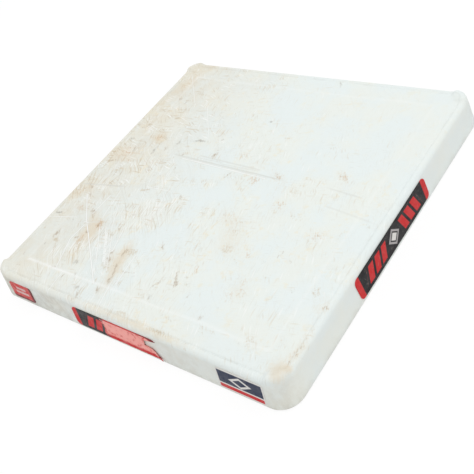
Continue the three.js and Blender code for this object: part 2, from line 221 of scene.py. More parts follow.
class NodeGraph:
    """The node tree of one material, with a short call for each kind of node used here."""

    def __init__(self, name: str) -> None:
        """Start a material that holds one Principled shader.

        Args:
            name: Name of the material.
        """
        self.material = bpy.data.materials.new(name)
        self.material.use_nodes = True
        self.tree = self.material.node_tree
        self.shader = self.tree.nodes["Principled BSDF"]

    def add(self, kind: str, **settings: Any) -> bpy.types.Node:
        """Add a node and set its properties.

        Args:
            kind: Blender's name of the node's type.
            settings: Properties of the node.

        Returns:
            The new node.
        """
        node = self.tree.nodes.new(kind)
        for key, value in settings.items():
            setattr(node, key, value)
        return node

    def feed(self, socket: Socket, source: Any) -> None:
        """Link a socket to another one, or set it to a constant.

        Args:
            socket: Socket to feed.
            source: Another socket, or a constant.
        """
        if isinstance(source, Socket):
            self.tree.links.new(source, socket)
        else:
            socket.default_value = source

    def place(self) -> Socket:
        """Give the Object coordinates, in metres."""
        return self.add("ShaderNodeTexCoord").outputs["Object"]

    def attribute(self, name: str, output: str = "Fac") -> Socket:
        """Give a stored attribute of the piece."""
        return self.add("ShaderNodeAttribute", attribute_name=name).outputs[output]

    def axes(self, vector: Socket) -> list[Socket]:
        """Split a vector into its three numbers.

        Args:
            vector: The vector's socket.

        Returns:
            The numbers' sockets.
        """
        node = self.add("ShaderNodeSeparateXYZ")
        self.feed(node.inputs[0], vector)
        return list(node.outputs)

    def math(self, operation: str, *values: Any, clamp: bool = False) -> Socket:
        """Work out one Math node.

        Args:
            operation: Blender's name of the operation.
            values: Sockets or constants.
            clamp: Whether the result is held between 0 and 1.

        Returns:
            The result's socket.
        """
        node = self.add("ShaderNodeMath", operation=operation, use_clamp=clamp)
        for socket, value in zip(node.inputs, values):
            self.feed(socket, value)
        return node.outputs[0]

    def ease(
        self, value: Any, low: float, high: float, start: float = 0.0, end: float = 1.0
    ) -> Socket:
        """Ease a value from start at low to end at high.

        Args:
            value: Socket to ease.
            low: Value at which the ease starts.
            high: Value at which it ends.
            start: Result at low.
            end: Result at high.

        Returns:
            The result's socket.
        """
        node = self.add("ShaderNodeMapRange", interpolation_type="SMOOTHSTEP")
        for socket, number in zip(node.inputs, (value, low, high, start, end)):
            self.feed(socket, number)
        return node.outputs[0]

    def noise(
        self, place: Any, scale: float, detail: float = 3.0, rough: float = 0.55
    ) -> Socket:
        """Give fractal noise, mostly between 0.25 and 0.75.

        Args:
            place: Coordinates.
            scale: Number of features in a unit of the coordinates.
            detail: Number of finer layers.
            rough: Share of each finer layer.

        Returns:
            The noise's socket.
        """
        node = self.add("ShaderNodeTexNoise")
        inputs = {"Vector": place, "Scale": scale, "Detail": detail, "Roughness": rough}
        for name, value in inputs.items():
            self.feed(node.inputs[name], value)
        return node.outputs["Fac"]

    def drawn_out(self, place: Any, turn: float, length: float, width: float) -> Socket:
        """Turn coordinates and scale them, so that a unit is one length along and one width across.

        Args:
            place: Coordinates in metres.
            turn: Direction of the length, in degrees from +X.
            length: Length of a unit.
            width: Width of a unit.

        Returns:
            The new coordinates' socket.
        """
        node = self.add("ShaderNodeMapping", vector_type="TEXTURE")
        self.feed(node.inputs["Vector"], place)
        node.inputs["Rotation"].default_value = (0.0, 0.0, math.radians(turn))
        node.inputs["Scale"].default_value = (length * MM, width * MM, length * MM)
        return node.outputs[0]

    def cells(self, place: Any, scale: float, dimensions: str = "3D") -> bpy.types.Node:
        """Divide space into the cells of a mosaic.

        Args:
            place: Coordinates.
            scale: Number of cells in a unit of the coordinates.
            dimensions: Blender's name of the number of dimensions.

        Returns:
            The node, with the distance to the cell's own point and a random colour for each cell.
        """
        node = self.add("ShaderNodeTexVoronoi", voronoi_dimensions=dimensions)
        self.feed(node.inputs["Vector"], place)
        node.inputs["Scale"].default_value = scale
        return node

    def dashes(self, place: Any, chance: Any) -> tuple[Socket, Socket]:
        """Scatter separate short dashes, one in each picked cell of a mosaic.

        A dash is a round spot on the cell's own point, which drawn-out coordinates make long and thin.
        A cell is picked where its random number and the chance add up to more than 1.

        Args:
            place: Drawn-out coordinates, one unit to a cell.
            chance: Share of the cells that hold a dash.

        Returns:
            The share of a dash, and the share of a soft halo round it.
        """
        cells = self.cells(place, 1.0, "2D")
        random = self.axes(cells.outputs["Color"])[0]
        picked = self.ease(self.math("ADD", random, chance), 1.0, 1.5)
        off = cells.outputs["Distance"]
        dash = self.math("MULTIPLY", self.ease(off, 0.0, 0.42, 1.0, 0.0), picked)
        halo = self.math("MULTIPLY", self.ease(off, 0.1, 0.5, 1.0, 0.0), picked)
        return dash, halo

    def bend(self, place: Any, scale: float, reach: float) -> Socket:
        """Shift coordinates by smooth noise, so that straight patterns bend.

        Args:
            place: Coordinates in metres.
            scale: Number of bends in a metre.
            reach: Largest shift, about.

        Returns:
            The shifted coordinates' socket.
        """
        noise = self.add("ShaderNodeTexNoise")
        self.feed(noise.inputs["Vector"], place)
        noise.inputs["Scale"].default_value = scale
        noise.inputs["Detail"].default_value = 1.0
        shift = self.add("ShaderNodeVectorMath", operation="MULTIPLY_ADD")
        self.feed(shift.inputs[0], noise.outputs["Color"])
        shift.inputs[1].default_value = (4.0 * reach * MM, 4.0 * reach * MM, 0.0)
        self.feed(shift.inputs[2], place)
        return shift.outputs[0]

    def blend(self, share: Any, under: Any, over: Any) -> Socket:
        """Lay one colour over another.

        Args:
            share: How much of the upper colour shows, from 0 to 1.
            under: Lower colour.
            over: Upper colour.

        Returns:
            The mixed colour's socket.
        """
        node = self.add("ShaderNodeMix", data_type="RGBA")
        for socket, value in zip((node.inputs[0], node.inputs[6], node.inputs[7]), (share, under, over)):
            self.feed(socket, value)
        return node.outputs[2]

    def bump(
        self, height: Any, depth: float, strength: float = 1.0, normal: Any = None
    ) -> Socket:
        """Tilt the shading by a height.

        Args:
            height: Height from 0 to 1.
            depth: What a height of 1 stands for.
            strength: Share of the effect.
            normal: Normal to tilt further, if any.

        Returns:
            The normal's socket.
        """
        node = self.add("ShaderNodeBump")
        node.inputs["Strength"].default_value = strength
        node.inputs["Distance"].default_value = depth * MM
        self.feed(node.inputs["Height"], height)
        if normal is not None:
            self.feed(node.inputs["Normal"], normal)
        return node.outputs[0]

    def finish(self, **inputs: Any) -> bpy.types.Material:
        """Set the shader's inputs.

        Args:
            inputs: Sockets or constants by input name, with an underscore for each space.

        Returns:
            The material.
        """
        for name, value in inputs.items():
            self.feed(self.shader.inputs[name.replace("_", " ")], value)
        return self.material


class Tone(Enum):
    """What a mark on the rubber is made of."""

    FILM = "film"
    TAN = "tan"
    ORANGE = "orange"
    BROWN = "brown"
    GREY = "grey"


@dataclass(frozen=True)
class Mark:
    """A smear on the top panel: its middle, size, direction in degrees from +X, and strength."""

    x: float
    y: float
    length: float
    width: float
    turn: float = 0.0
    strength: float = 0.7

    def spread(self, x: Array, y: Array) -> Array:
        """Fade from the middle outwards as exp(-e), e being the square of 1.6 distances over the size.

        Args:
            x: First coordinate of each point.
            y: Second coordinate of each point.

        Returns:
            The mark's strength at each point.
        """
        turn = math.radians(self.turn)
        along = (x - self.x) * math.cos(turn) + (y - self.y) * math.sin(turn)
        across = (y - self.y) * math.cos(turn) - (x - self.x) * math.sin(turn)
        reach = (1.6 * along / self.length) ** 2 + (1.6 * across / self.width) ** 2
        return self.strength * np.exp(-reach)

    def halo(self, x: Array, y: Array) -> Array:
        """Spread the mark's halo: twice as long, 2.4 times as wide and a quarter as strong.

        Args:
            x: First coordinate of each point.
            y: Second coordinate of each point.

        Returns:
            The halo's strength at each point.
        """
        length, width, strength = 2.0 * self.length, 2.4 * self.width, 0.25 * self.strength
        return replace(self, length=length, width=width, strength=strength).spread(x, y)


@dataclass(frozen=True)
class Strokes:
    """Thin strokes scattered by a seeded draw, denser to the left and front, none at the back right."""

    count: int
    seed: int
    left: float = -178.0
    reach_x: float = 330.0
    crowding_x: float = 2.2
    front: float = -180.0
    reach_y: float = 320.0
    crowding_y: float = 1.5
    right_slope: float = 0.3
    turns: tuple[float, ...] = (-80.0, -48.0, 10.0)
    turn_shares: tuple[float, ...] = (0.5, 0.25, 0.25)
    turn_spread: float = 12.0
    lengths: tuple[float, float] = (4.0, 12.0)
    widths: tuple[float, float] = (1.8, 3.0)
    strengths: tuple[float, float] = (0.4, 0.8)

    def marks(self) -> tuple[Mark, ...]:
        """Draw the strokes' places by beta laws, their directions round a few main ones, and their sizes.

        Returns:
            The strokes.
        """
        draw, count = np.random.default_rng(self.seed), self.count
        x = self.left + self.reach_x * draw.beta(1.0, self.crowding_x, count)
        y = self.front + self.reach_y * draw.beta(1.0, self.crowding_y, count)
        y -= self.right_slope * np.maximum(x, 0.0)
        turn = draw.choice(self.turns, count, p=self.turn_shares) + draw.normal(0.0, self.turn_spread, count)
        sizes = [draw.uniform(*span, count) for span in (self.lengths, self.widths, self.strengths)]
        length, width, strength = sizes
        rows = np.stack([x, y, length, width, turn, strength], axis=1).tolist()
        return tuple(Mark(*row) for row in rows)


@dataclass(frozen=True)
class Scratch:
    """A straight line scored into the top panel: its ends, how clear it is, and its share of dirt."""

    start: tuple[float, float]
    end: tuple[float, float]
    clear: float = 0.7
    dirt: float = 0.0

    def offsets(self, x: Array, y: Array) -> tuple[Array, Array]:
        """Measure points against the line.

        Args:
            x: First coordinate of each point.
            y: Second coordinate of each point.

        Returns:
            The signed distance from the line, and the distance past its nearer end.
        """
        run = np.subtract(self.end, self.start)
        length = math.hypot(*run)
        run = run / length
        along = (x - self.start[0]) * run[0] + (y - self.start[1]) * run[1]
        side = (y - self.start[1]) * run[0] - (x - self.start[0]) * run[1]
        return side, np.maximum(np.maximum(-along, along - length), 0.0)


# Clay, rubbed dirt and shoe marks on the top panel, by what they are made of
MARKS: dict[Tone, tuple[Mark, ...]] = {
    Tone.FILM: (
        Mark(-164, 146, 44, 22, 75, 0.35),
        Mark(-174, 90, 60, 16, 90, 0.25),
        Mark(-160, 12, 48, 30, 0, 0.2),
        Mark(-174, -62, 24, 14, 60, 0.3),
        Mark(-133, 46, 20, 16, 0, 0.25),
        Mark(-110, -104, 40, 14, -50, 0.4),
        Mark(-45, -130, 56, 16, -76, 0.35),
        Mark(48, -62, 50, 26, -50, 0.2),
        Mark(10, -182, 150, 8, 0, 0.45),
        Mark(175, -173, 22, 14, -38, 0.6),
        Mark(181, -168, 8, 6, -20, 0.6),
    ),
    Tone.TAN: (
        Mark(-145, 44, 16, 9, 0, 0.5),
        Mark(-130, 128, 26, 7, -10, 0.6),
        Mark(-131, 97, 18, 14, -40, 0.5),
        Mark(-137, -135, 28, 5, -52, 0.7),
        Mark(-109, -124, 18, 6, -70, 0.7),
        Mark(-85, -98, 10, 6, -40, 0.7),
        Mark(-56, -136, 18, 11, -45, 0.6),
        Mark(-41, -112, 14, 10, 0, 0.7),
        Mark(2, 11, 22, 10, 0, 0.4),
        Mark(84, 80, 12, 10, 0, 0.35),
        Mark(83, 29, 14, 5, -20, 0.6),
        Mark(79, 10, 14, 10, 0, 0.5),
        Mark(76, -20, 9, 6, 0, 0.5),
        Mark(100, -19, 19, 12, 0, 0.4),
        Mark(154, -27, 11, 11, 0, 0.4),
        Mark(40, -43, 48, 4, 13, 0.45),
        Mark(50, -54, 16, 12, 0, 0.45),
        Mark(57, -77, 16, 13, 0, 0.55),
        Mark(113, -93, 12, 9, 0, 0.4),
        Mark(103, -117, 16, 7, 0, 0.4),
        Mark(164, -92, 16, 7, -62, 0.55),
        Mark(180, -104, 14, 6, 90, 0.4),
        Mark(138, -158, 20, 8, -45, 0.55),
        Mark(8, -153, 13, 5, -20, 0.6),
        Mark(90, -166, 14, 8, -10, 0.35),
        Mark(50, -180, 22, 5, 0, 0.7),
        Mark(2, -176, 16, 5, 0, 0.6),
        Mark(181, -146, 44, 6, 90, 0.5),
    ),
    Tone.ORANGE: (
        Mark(-160, 21, 30, 3.5, 8, 0.6),
        Mark(-156, 14, 42, 3.5, 5, 0.7),
        Mark(-163, 7, 28, 3.5, 12, 0.6),
        Mark(-152, 1, 30, 3.5, 10, 0.5),
        Mark(-164, 146, 40, 16, 75, 0.4),
        Mark(-133, 46, 12, 11, 0, 0.65),
        Mark(-172, -62, 15, 12, 0, 0.5),
        Mark(-151, -78, 10, 8, 0, 0.8),
        Mark(-107, -92, 15, 8, -50, 1.0),
        Mark(-115, -116, 22, 7, -78, 0.65),
        Mark(0, 26, 16, 10, 0, 0.4),
        Mark(28, 13, 17, 12, 0, 0.65),
        Mark(51, 22, 16, 9, -38, 0.6),
        Mark(74, -10, 14, 10, 0, 0.6),
        Mark(120, 40, 15, 9, -35, 0.8),
        Mark(163, 31, 11, 4, -20, 0.4),
        Mark(36, -36, 16, 9, 0, 0.4),
        Mark(132, -36, 15, 12, 0, 0.5),
        Mark(133, -56, 8, 7, 0, 0.5),
        Mark(82, -76, 14, 7, -58, 0.55),
        Mark(98, -109, 18, 6, -75, 0.55),
        Mark(90, -123, 14, 11, 0, 0.5),
        Mark(164, -149, 16, 9, 0, 0.4),
        Mark(41, -108, 14, 5, -58, 0.75),
    ),
    Tone.BROWN: (
        Mark(-168, -3, 22, 3, 15, 0.75),
        Mark(-133, 46, 7, 6, 0, 0.45),
        Mark(-154, 114, 6, 5, 0, 0.9),
        Mark(-131, 97, 13, 8, -40, 0.3),
        Mark(-164, 63, 6, 5, 0, 0.7),
        Mark(-168, 57, 6, 5, 0, 0.6),
        Mark(-111, 32, 8, 5, 90, 0.7),
        Mark(-42, 37, 14, 4, 90, 0.8),
        Mark(-115, -105, 6, 5, 0, 0.8),
        Mark(-122, -116, 6, 5, 0, 0.75),
        Mark(-131, -78, 10, 5, -40, 0.8),
        Mark(-124, -84, 8, 4, -45, 0.6),
        Mark(-155, -57, 9, 4, -40, 0.85),
        Mark(-151, -118, 14, 5, -86, 0.85),
        Mark(-49, -114, 15, 3.4, -80, 0.75),
        Mark(-46, -130, 20, 2.6, -76, 0.4),
        Mark(-40, -146, 19, 3.0, -72, 0.8),
        Mark(-108, -93, 8, 3, -75, 0.9),
        Mark(-61, -128, 10, 5, -60, 0.8),
        Mark(-63, -118, 6, 4, -60, 0.7),
        Mark(-43, -163, 9, 4, -40, 0.8),
        Mark(-62, -177, 12, 7, 80, 0.6),
        Mark(-78, -90, 5, 4, 0, 0.75),
        Mark(-109, -4, 14, 4, -56, 0.6),
        Mark(-38, -31, 12, 3, -45, 0.65),
        Mark(48, 26, 18, 3.4, -38, 0.55),
        Mark(115, 41, 9, 3, -35, 0.55),
        Mark(76, 13, 16, 2.6, -32, 0.45),
        Mark(133, 20, 24, 2.4, -5, 0.35),
        Mark(56, -77, 8, 3, 0, 0.45),
        Mark(125, -70, 8, 3, -20, 0.45),
        Mark(86, -101, 14, 3, -58, 0.45),
        Mark(164, -92, 18, 2.6, -62, 0.4),
        Mark(180, -104, 5, 4, 0, 0.65),
        Mark(13, -136, 15, 2.8, 62, 0.65),
        Mark(-26, -134, 16, 2.6, 10, 0.65),
        Mark(27, -122, 24, 2.6, -62, 0.55),
        Mark(-12, -95, 20, 2.6, -46, 0.75),
        Mark(-163, -46, 8, 4, -35, 0.8),
        Mark(-118, -157, 14, 3, 0, 0.7),
        Mark(-76, -67, 5, 4, 0, 0.7),
        Mark(95, -19, 5, 4, 0, 0.45),
        Mark(85, 77, 8, 5, 0, 0.45),
        Mark(133, -35, 11, 6, -20, 0.35),
        Mark(26, -37, 5, 4, 0, 0.55),
        Mark(32, -128, 15, 4, -58, 0.5),
        Mark(50, -164, 17, 4, 0, 0.55),
        Mark(80, -153, 6, 5, 0, 0.65),
        Mark(138, -158, 16, 3, -45, 0.35),
        Mark(179, -160, 5, 3.5, 70, 0.65),
        Mark(180, -153, 4, 3, 0, 0.55),
        Mark(181, -146, 6, 3, 80, 0.6),
        Mark(181, -137, 5, 3, 90, 0.6),
        Mark(182, -127, 7, 3, 90, 0.35),
        Mark(172, -11, 5, 5, 0, 0.45),
    ),
    Tone.GREY: (
        Mark(-173, -92, 9, 3.5, 0, 1.0),
        Mark(-170, 36, 8, 6, 0, 0.6),
        Mark(-75, 52, 18, 3.2, 10, 0.9),
        Mark(-101, 44, 9, 4, 90, 0.75),
        Mark(-124, 25, 16, 3.5, 90, 0.75),
        Mark(-48, 60, 5, 4, 0, 0.7),
        Mark(-7, 11, 14, 3.2, 80, 0.6),
        Mark(-6, 100, 4, 4, 0, 0.75),
        Mark(-95, -143, 7, 5, 0, 0.75),
        Mark(-68, -168, 6, 4, 0, 0.75),
        Mark(-83, -156, 5, 4, 0, 0.6),
        Mark(17, -151, 15, 3, -52, 0.6),
        Mark(-4, -36, 18, 2.4, -80, 0.5),
        Mark(39, 176, 14, 4, -50, 0.6),
        Mark(136, -13, 5, 4, 0, 0.45),
        Mark(161, -75, 4, 3, 0, 0.45),
        Mark(130, -163, 8, 3, -30, 0.4),
        Mark(38, -118, 5, 4, 0, 0.55),
        Mark(44, -126, 7, 4, -30, 0.55),
        Mark(100, -79, 9, 3.5, -20, 0.45),
        Mark(90, -138, 5, 4, 0, 0.5),
        Mark(145, -99, 5, 4, 0, 0.5),
    ),
}

# Strokes of the same tones scattered between those marks
STROKES: dict[Tone, Strokes] = {
    Tone.TAN: Strokes(40, 0),
    Tone.BROWN: Strokes(18, 1),
    Tone.GREY: Strokes(8, 2),
}

# Lines scored into the top panel: long ones across it, then a fan of them at the front left
SCRATCHES: tuple[Scratch, ...] = (
    Scratch((-82, 25), (46, 21), 0.65, 1.0),
    Scratch((-78, 22), (38, 18), 0.8),
    Scratch((-58, 31), (24, 28), 0.6, 0.8),
    Scratch((126, 0), (164, -5), 0.45, 0.7),
    Scratch((120, 22), (142, 20), 0.5, 0.8),
    Scratch((-166, 156), (-128, 112), 0.4),
    Scratch((-112, 116), (-74, 68), 0.4),
    Scratch((-168, -44), (-128, -37), 0.8, 0.8),
    Scratch((-178, -100), (-147, -92), 0.6),
    Scratch((-136, -97), (-113, -90), 0.7, 0.4),
    Scratch((-92, -28), (-62, -27), 0.5),
    Scratch((-157, -61), (-129, -91), 1.0),
    Scratch((-129, -91), (-103, -114), 1.0),
    Scratch((-103, -114), (-57, -155), 1.0),
    Scratch((-126, -97), (-128, -119), 0.9),
    Scratch((-128, -119), (-115, -151), 0.9),
    Scratch((-127, -53), (-128, -80), 0.8),
    Scratch((-118, -49), (-112, -79), 0.5),
    Scratch((-109, -55), (-90, -89), 0.5),
    Scratch((-94, -18), (-75, -68), 0.4),
    Scratch((-60, -33), (-50, -71), 0.4),
    Scratch((-105, -94), (-72, -135)),
    Scratch((-97, -92), (-64, -133)),
    Scratch((-89, -98), (-59, -136)),
    Scratch((-80, -101), (-54, -137)),
    Scratch((-72, -93), (-64, -117), 0.8),
    Scratch((-100, -163), (-98, -183), 0.6),
    Scratch((-33, -122), (-29, -150), 0.8),
    Scratch((-36, -148), (-26, -184), 0.5),
)


class Region(Enum):
    """Where a kind of wear lies: scuffs at the front left, curls all over, rubbing along the left."""

    SCUFFED = "scuffed"
    CURLED = "curled"
    RUBBED = "rubbed"


@dataclass(frozen=True)
class Wear:
    """One layer of fine strokes: region, direction in degrees, size, colour, share, and chance of a dash."""

    region: Region
    turn: float
    length: float
    width: float
    colour: Colour
    share: float
    chance: float = 0.0


@dataclass(frozen=True)
class RubberFinish:
    """White moulded rubber with clay rubbed into it.

    A row of tones holds the tone, its colour, its opacity and how ragged its edges are.
    """

    white: Colour = srgb(233, 241, 240)
    warm_white: Colour = srgb(236, 241, 236)
    veil: Colour = srgb(221, 201, 166)
    clay: Colour = srgb(180, 169, 150)
    earth: Colour = srgb(190, 174, 146)
    pale: Colour = srgb(250, 252, 250)
    line: Colour = srgb(176, 168, 156)
    dull: Colour = srgb(212, 213, 206)
    peach: Colour = srgb(236, 225, 203)
    stain: Colour = srgb(238, 226, 195)
    # Colour of the grime on the walls, and of the painted shade in the groove and at the foot of the walls
    grime_and_shade: Colour = srgb(150, 142, 128)
    tones: tuple[tuple[Tone, Colour, float, float], ...] = (
        (Tone.FILM, srgb(225, 209, 182), 0.6, 0.1),
        (Tone.TAN, srgb(200, 182, 152), 0.6, 0.3),
        (Tone.ORANGE, srgb(206, 173, 136), 0.6, 0.34),
        (Tone.BROWN, srgb(166, 144, 118), 0.58, 0.3),
        (Tone.GREY, srgb(162, 156, 144), 0.6, 0.25),
    )
    veil_share: float = 0.56
    stain_share: float = 0.5
    halo_share: float = 0.3
    scratch_share: float = 0.95
    scratch_width: float = 1.7
    scratch_edge_share: float = 0.2
    scratch_edge_width: float = 3.2
    grime_and_shade_share: float = 0.45
    # Share of the painted highlight along the crease
    crease_highlight_share: float = 0.8

    @property
    def streaks(self) -> tuple[Wear, ...]:
        """Layers of fine streaks, sized as one streak."""
        return (
            Wear(Region.SCUFFED, -45.0, 70.0, 1.0, self.clay, 0.45),
            Wear(Region.SCUFFED, -48.0, 56.0, 0.9, self.pale, 0.8),
            Wear(Region.SCUFFED, -80.0, 11.0, 1.4, self.earth, 0.3),
            Wear(Region.CURLED, -78.0, 9.0, 1.3, self.earth, 0.22),
            Wear(Region.CURLED, 12.0, 8.0, 1.2, self.clay, 0.16),
            Wear(Region.RUBBED, 8.0, 11.0, 1.3, self.clay, 0.2),
            Wear(Region.RUBBED, -46.0, 50.0, 1.2, self.clay, 0.22),
        )

    @property
    def dashes(self) -> tuple[Wear, ...]:
        """Layers of short dashes, sized as one cell, which is about twice as long as its dash."""
        return (
            Wear(Region.SCUFFED, -82.0, 30.0, 3.0, self.earth, 0.6, 0.6),
            Wear(Region.SCUFFED, -72.0, 16.0, 2.2, self.clay, 0.55, 0.55),
            Wear(Region.SCUFFED, -50.0, 36.0, 2.4, self.earth, 0.5, 0.55),
            Wear(Region.SCUFFED, -76.0, 30.0, 2.0, self.pale, 0.9, 0.7),
            Wear(Region.SCUFFED, -52.0, 34.0, 1.8, self.pale, 0.9, 0.6),
            Wear(Region.CURLED, -84.0, 20.0, 3.0, self.earth, 0.4, 0.42),
            Wear(Region.CURLED, -58.0, 13.0, 2.4, self.clay, 0.38, 0.42),
            Wear(Region.CURLED, 14.0, 15.0, 2.6, self.earth, 0.34, 0.38),
            Wear(Region.CURLED, -72.0, 20.0, 2.0, self.pale, 0.7, 0.6),
            Wear(Region.RUBBED, 8.0, 28.0, 3.0, self.earth, 0.6, 0.55),
            Wear(Region.RUBBED, -26.0, 18.0, 2.4, self.clay, 0.5, 0.45),
            Wear(Region.RUBBED, -14.0, 26.0, 2.0, self.pale, 0.9, 0.6),
        )

    def material(self) -> bpy.types.Material:
        """Lay veil, streaks, marks, scratches, grime with painted shade, and a painted highlight along the
        crease over the white, and grain over the shape.

        Returns:
            The material, which reads the cover's own attributes.
        """
        graph = NodeGraph("white_rubber")
        place = graph.attribute("unrolled", "Vector")
        broad = graph.noise(place, 22.0, 4.0)
        patchy = graph.noise(place, 75.0, 4.0, 0.65)
        fine = graph.noise(place, 420.0, 3.0, 0.6)
        colour = graph.blend(graph.ease(broad, 0.4, 0.62), self.white, self.warm_white)
        veil = graph.math("MULTIPLY", graph.attribute("veil"), graph.ease(patchy, 0.3, 0.7, 0.6, 1.0))
        colour = graph.blend(graph.math("MULTIPLY", veil, self.veil_share), colour, self.veil)

        bent, wavy = graph.bend(place, 14.0, 9.0), graph.bend(place, 34.0, 2.4)
        colour = self.stained(graph, place, wavy, colour)
        for seed, wear in enumerate(self.streaks):
            amount = self.streak(graph, place, bent if wear.region is Region.SCUFFED else wavy, wear, seed)
            colour = graph.blend(graph.math("MULTIPLY", amount, wear.share), colour, wear.colour)
        for seed, wear in enumerate(self.dashes):
            course = bent if wear.region is Region.SCUFFED else wavy
            dash, halo = self.dash(graph, place, course, wear, seed)
            if wear.colour is not self.pale:
                colour = graph.blend(graph.math("MULTIPLY", halo, self.halo_share), colour, self.peach)
            colour = graph.blend(graph.math("MULTIPLY", dash, wear.share), colour, wear.colour)
        colour = self.marked(graph, wavy, fine, colour)

        scored = self.line_share(graph, self.scratch_width)
        core = graph.blend(graph.attribute("scratch_dirt"), self.pale, self.dull)
        colour = graph.blend(graph.math("MULTIPLY", scored, self.scratch_share), colour, core)
        wide = self.line_share(graph, self.scratch_edge_width)
        edge = graph.math("SUBTRACT", wide, scored, clamp=True)
        colour = graph.blend(graph.math("MULTIPLY", edge, self.scratch_edge_share), colour, self.line)
        # Grime on the walls, and painted shade in the groove and at the foot of the walls
        grime_and_shade = graph.math("MULTIPLY", graph.attribute("grime_and_shade"), graph.ease(patchy, 0.35, 0.7))
        colour = graph.blend(graph.math("MULTIPLY", grime_and_shade, self.grime_and_shade_share), colour, self.grime_and_shade)
        # Painted highlight: the crease line is blended towards pale white
        crease = graph.math("MULTIPLY", graph.attribute("crease"), self.crease_highlight_share)
        colour = graph.blend(crease, colour, self.pale)

        grain = graph.bump(graph.noise(place, 900.0, 2.0), 0.12, 0.5)
        normal = graph.bump(graph.math("SUBTRACT", 1.0, scored), 0.25, 0.7, grain)
        rough = graph.ease(patchy, 0.3, 0.7, 0.5, 0.68)
        return graph.finish(Base_Color=colour, Roughness=rough, Normal=normal, Specular_IOR_Level=0.4)

    def stained(self, graph: NodeGraph, place: Any, wavy: Any, colour: Any) -> Socket:
        """Lay soft yellowish spots over a colour, in patches.

        Args:
            graph: Node tree to draw in.
            place: Unrolled coordinates.
            wavy: The same, bent in short waves.
            colour: Colour under the spots.

        Returns:
            The new colour's socket.
        """
        spots = graph.ease(graph.noise(wavy, 110.0, 3.0, 0.65), 0.55, 0.7)
        patches = graph.ease(graph.noise(place, 21.0, 2.0), 0.42, 0.6, 0.2, 1.0)
        spots = graph.math("MULTIPLY", spots, patches)
        spots = graph.math("MULTIPLY", spots, graph.attribute(Region.CURLED.value))
        return graph.blend(graph.math("MULTIPLY", spots, self.stain_share), colour, self.stain)

    def streak(self, graph: NodeGraph, place: Any, course: Any, wear: Wear, seed: int) -> Socket:
        """Draw one layer of streaks as noise drawn out along their direction, in patches.

        Args:
            graph: Node tree to draw in.
            place: Unrolled coordinates.
            course: The same, bent as the streaks are.
            wear: The layer.
            seed: Number of the layer, which sets the size of its patches.

        Returns:
            The share's socket.
        """
        drawn = graph.drawn_out(course, wear.turn, wear.length, wear.width)
        streak = graph.ease(graph.noise(drawn, 1.0, 2.0), 0.54, 0.74)
        patch = graph.ease(graph.noise(place, 17.0 + 3.0 * seed, 2.0), 0.4, 0.62, 0.2, 1.0)
        patch = graph.math("MULTIPLY", patch, graph.attribute(wear.region.value))
        return graph.math("MULTIPLY", streak, patch)

    def dash(
        self, graph: NodeGraph, place: Any, course: Any, wear: Wear, seed: int
    ) -> tuple[Socket, Socket]:
        """Draw one layer of dashes, many in patches and few between them.

        Args:
            graph: Node tree to draw in.
            place: Unrolled coordinates.
            course: The same, bent as the dashes are.
            wear: The layer.
            seed: Number of the layer, which sets the size of its patches.

        Returns:
            The share of a dash, and the share of a soft halo round it.
        """
        drawn = graph.drawn_out(course, wear.turn, wear.length, wear.width)
        few, many = 0.1 * wear.chance, 1.2 * wear.chance
        patch = graph.ease(graph.noise(place, 14.0 + 4.0 * seed, 2.0), 0.44, 0.64, few, many)
        patch = graph.math("MULTIPLY", patch, graph.attribute(wear.region.value))
        return graph.dashes(drawn, patch)

    def marked(self, graph: NodeGraph, wavy: Any, fine: Any, colour: Any) -> Socket:
        """Lay the stored marks over a colour, each tone with ragged, smeared edges.

        Args:
            graph: Node tree to draw in.
            wavy: Unrolled coordinates, bent in short waves.
            fine: Fine noise.
            colour: Colour under the marks.

        Returns:
            The new colour's socket.
        """
        smear = graph.noise(graph.drawn_out(wavy, -58.0, 7.0, 1.3), 1.0, 2.0)
        broken = graph.math("ADD", graph.ease(smear, 0.32, 0.68), graph.ease(fine, 0.3, 0.7))
        for tone, shade, opacity, raggedness in self.tones:
            ragged = graph.math("MULTIPLY_ADD", broken, -raggedness, graph.attribute(tone.value))
            amount = graph.math("MULTIPLY", graph.ease(ragged, 0.0, 0.65), opacity)
            colour = graph.blend(amount, colour, shade)
        return colour

    def line_share(self, graph: NodeGraph, width: float) -> Socket:
        """Draw the stored scratches: 1 on a line, 0 beyond half its width.

        Args:
            graph: Node tree to draw in.
            width: Width of a line.

        Returns:
            The share's socket.
        """
        off = graph.math("ABSOLUTE", graph.attribute("scratch_side"))
        line = graph.ease(off, 0.15 * width, 0.5 * width, 1.0, 0.0)
        return graph.math("MULTIPLY", line, graph.attribute("scratch_near"))


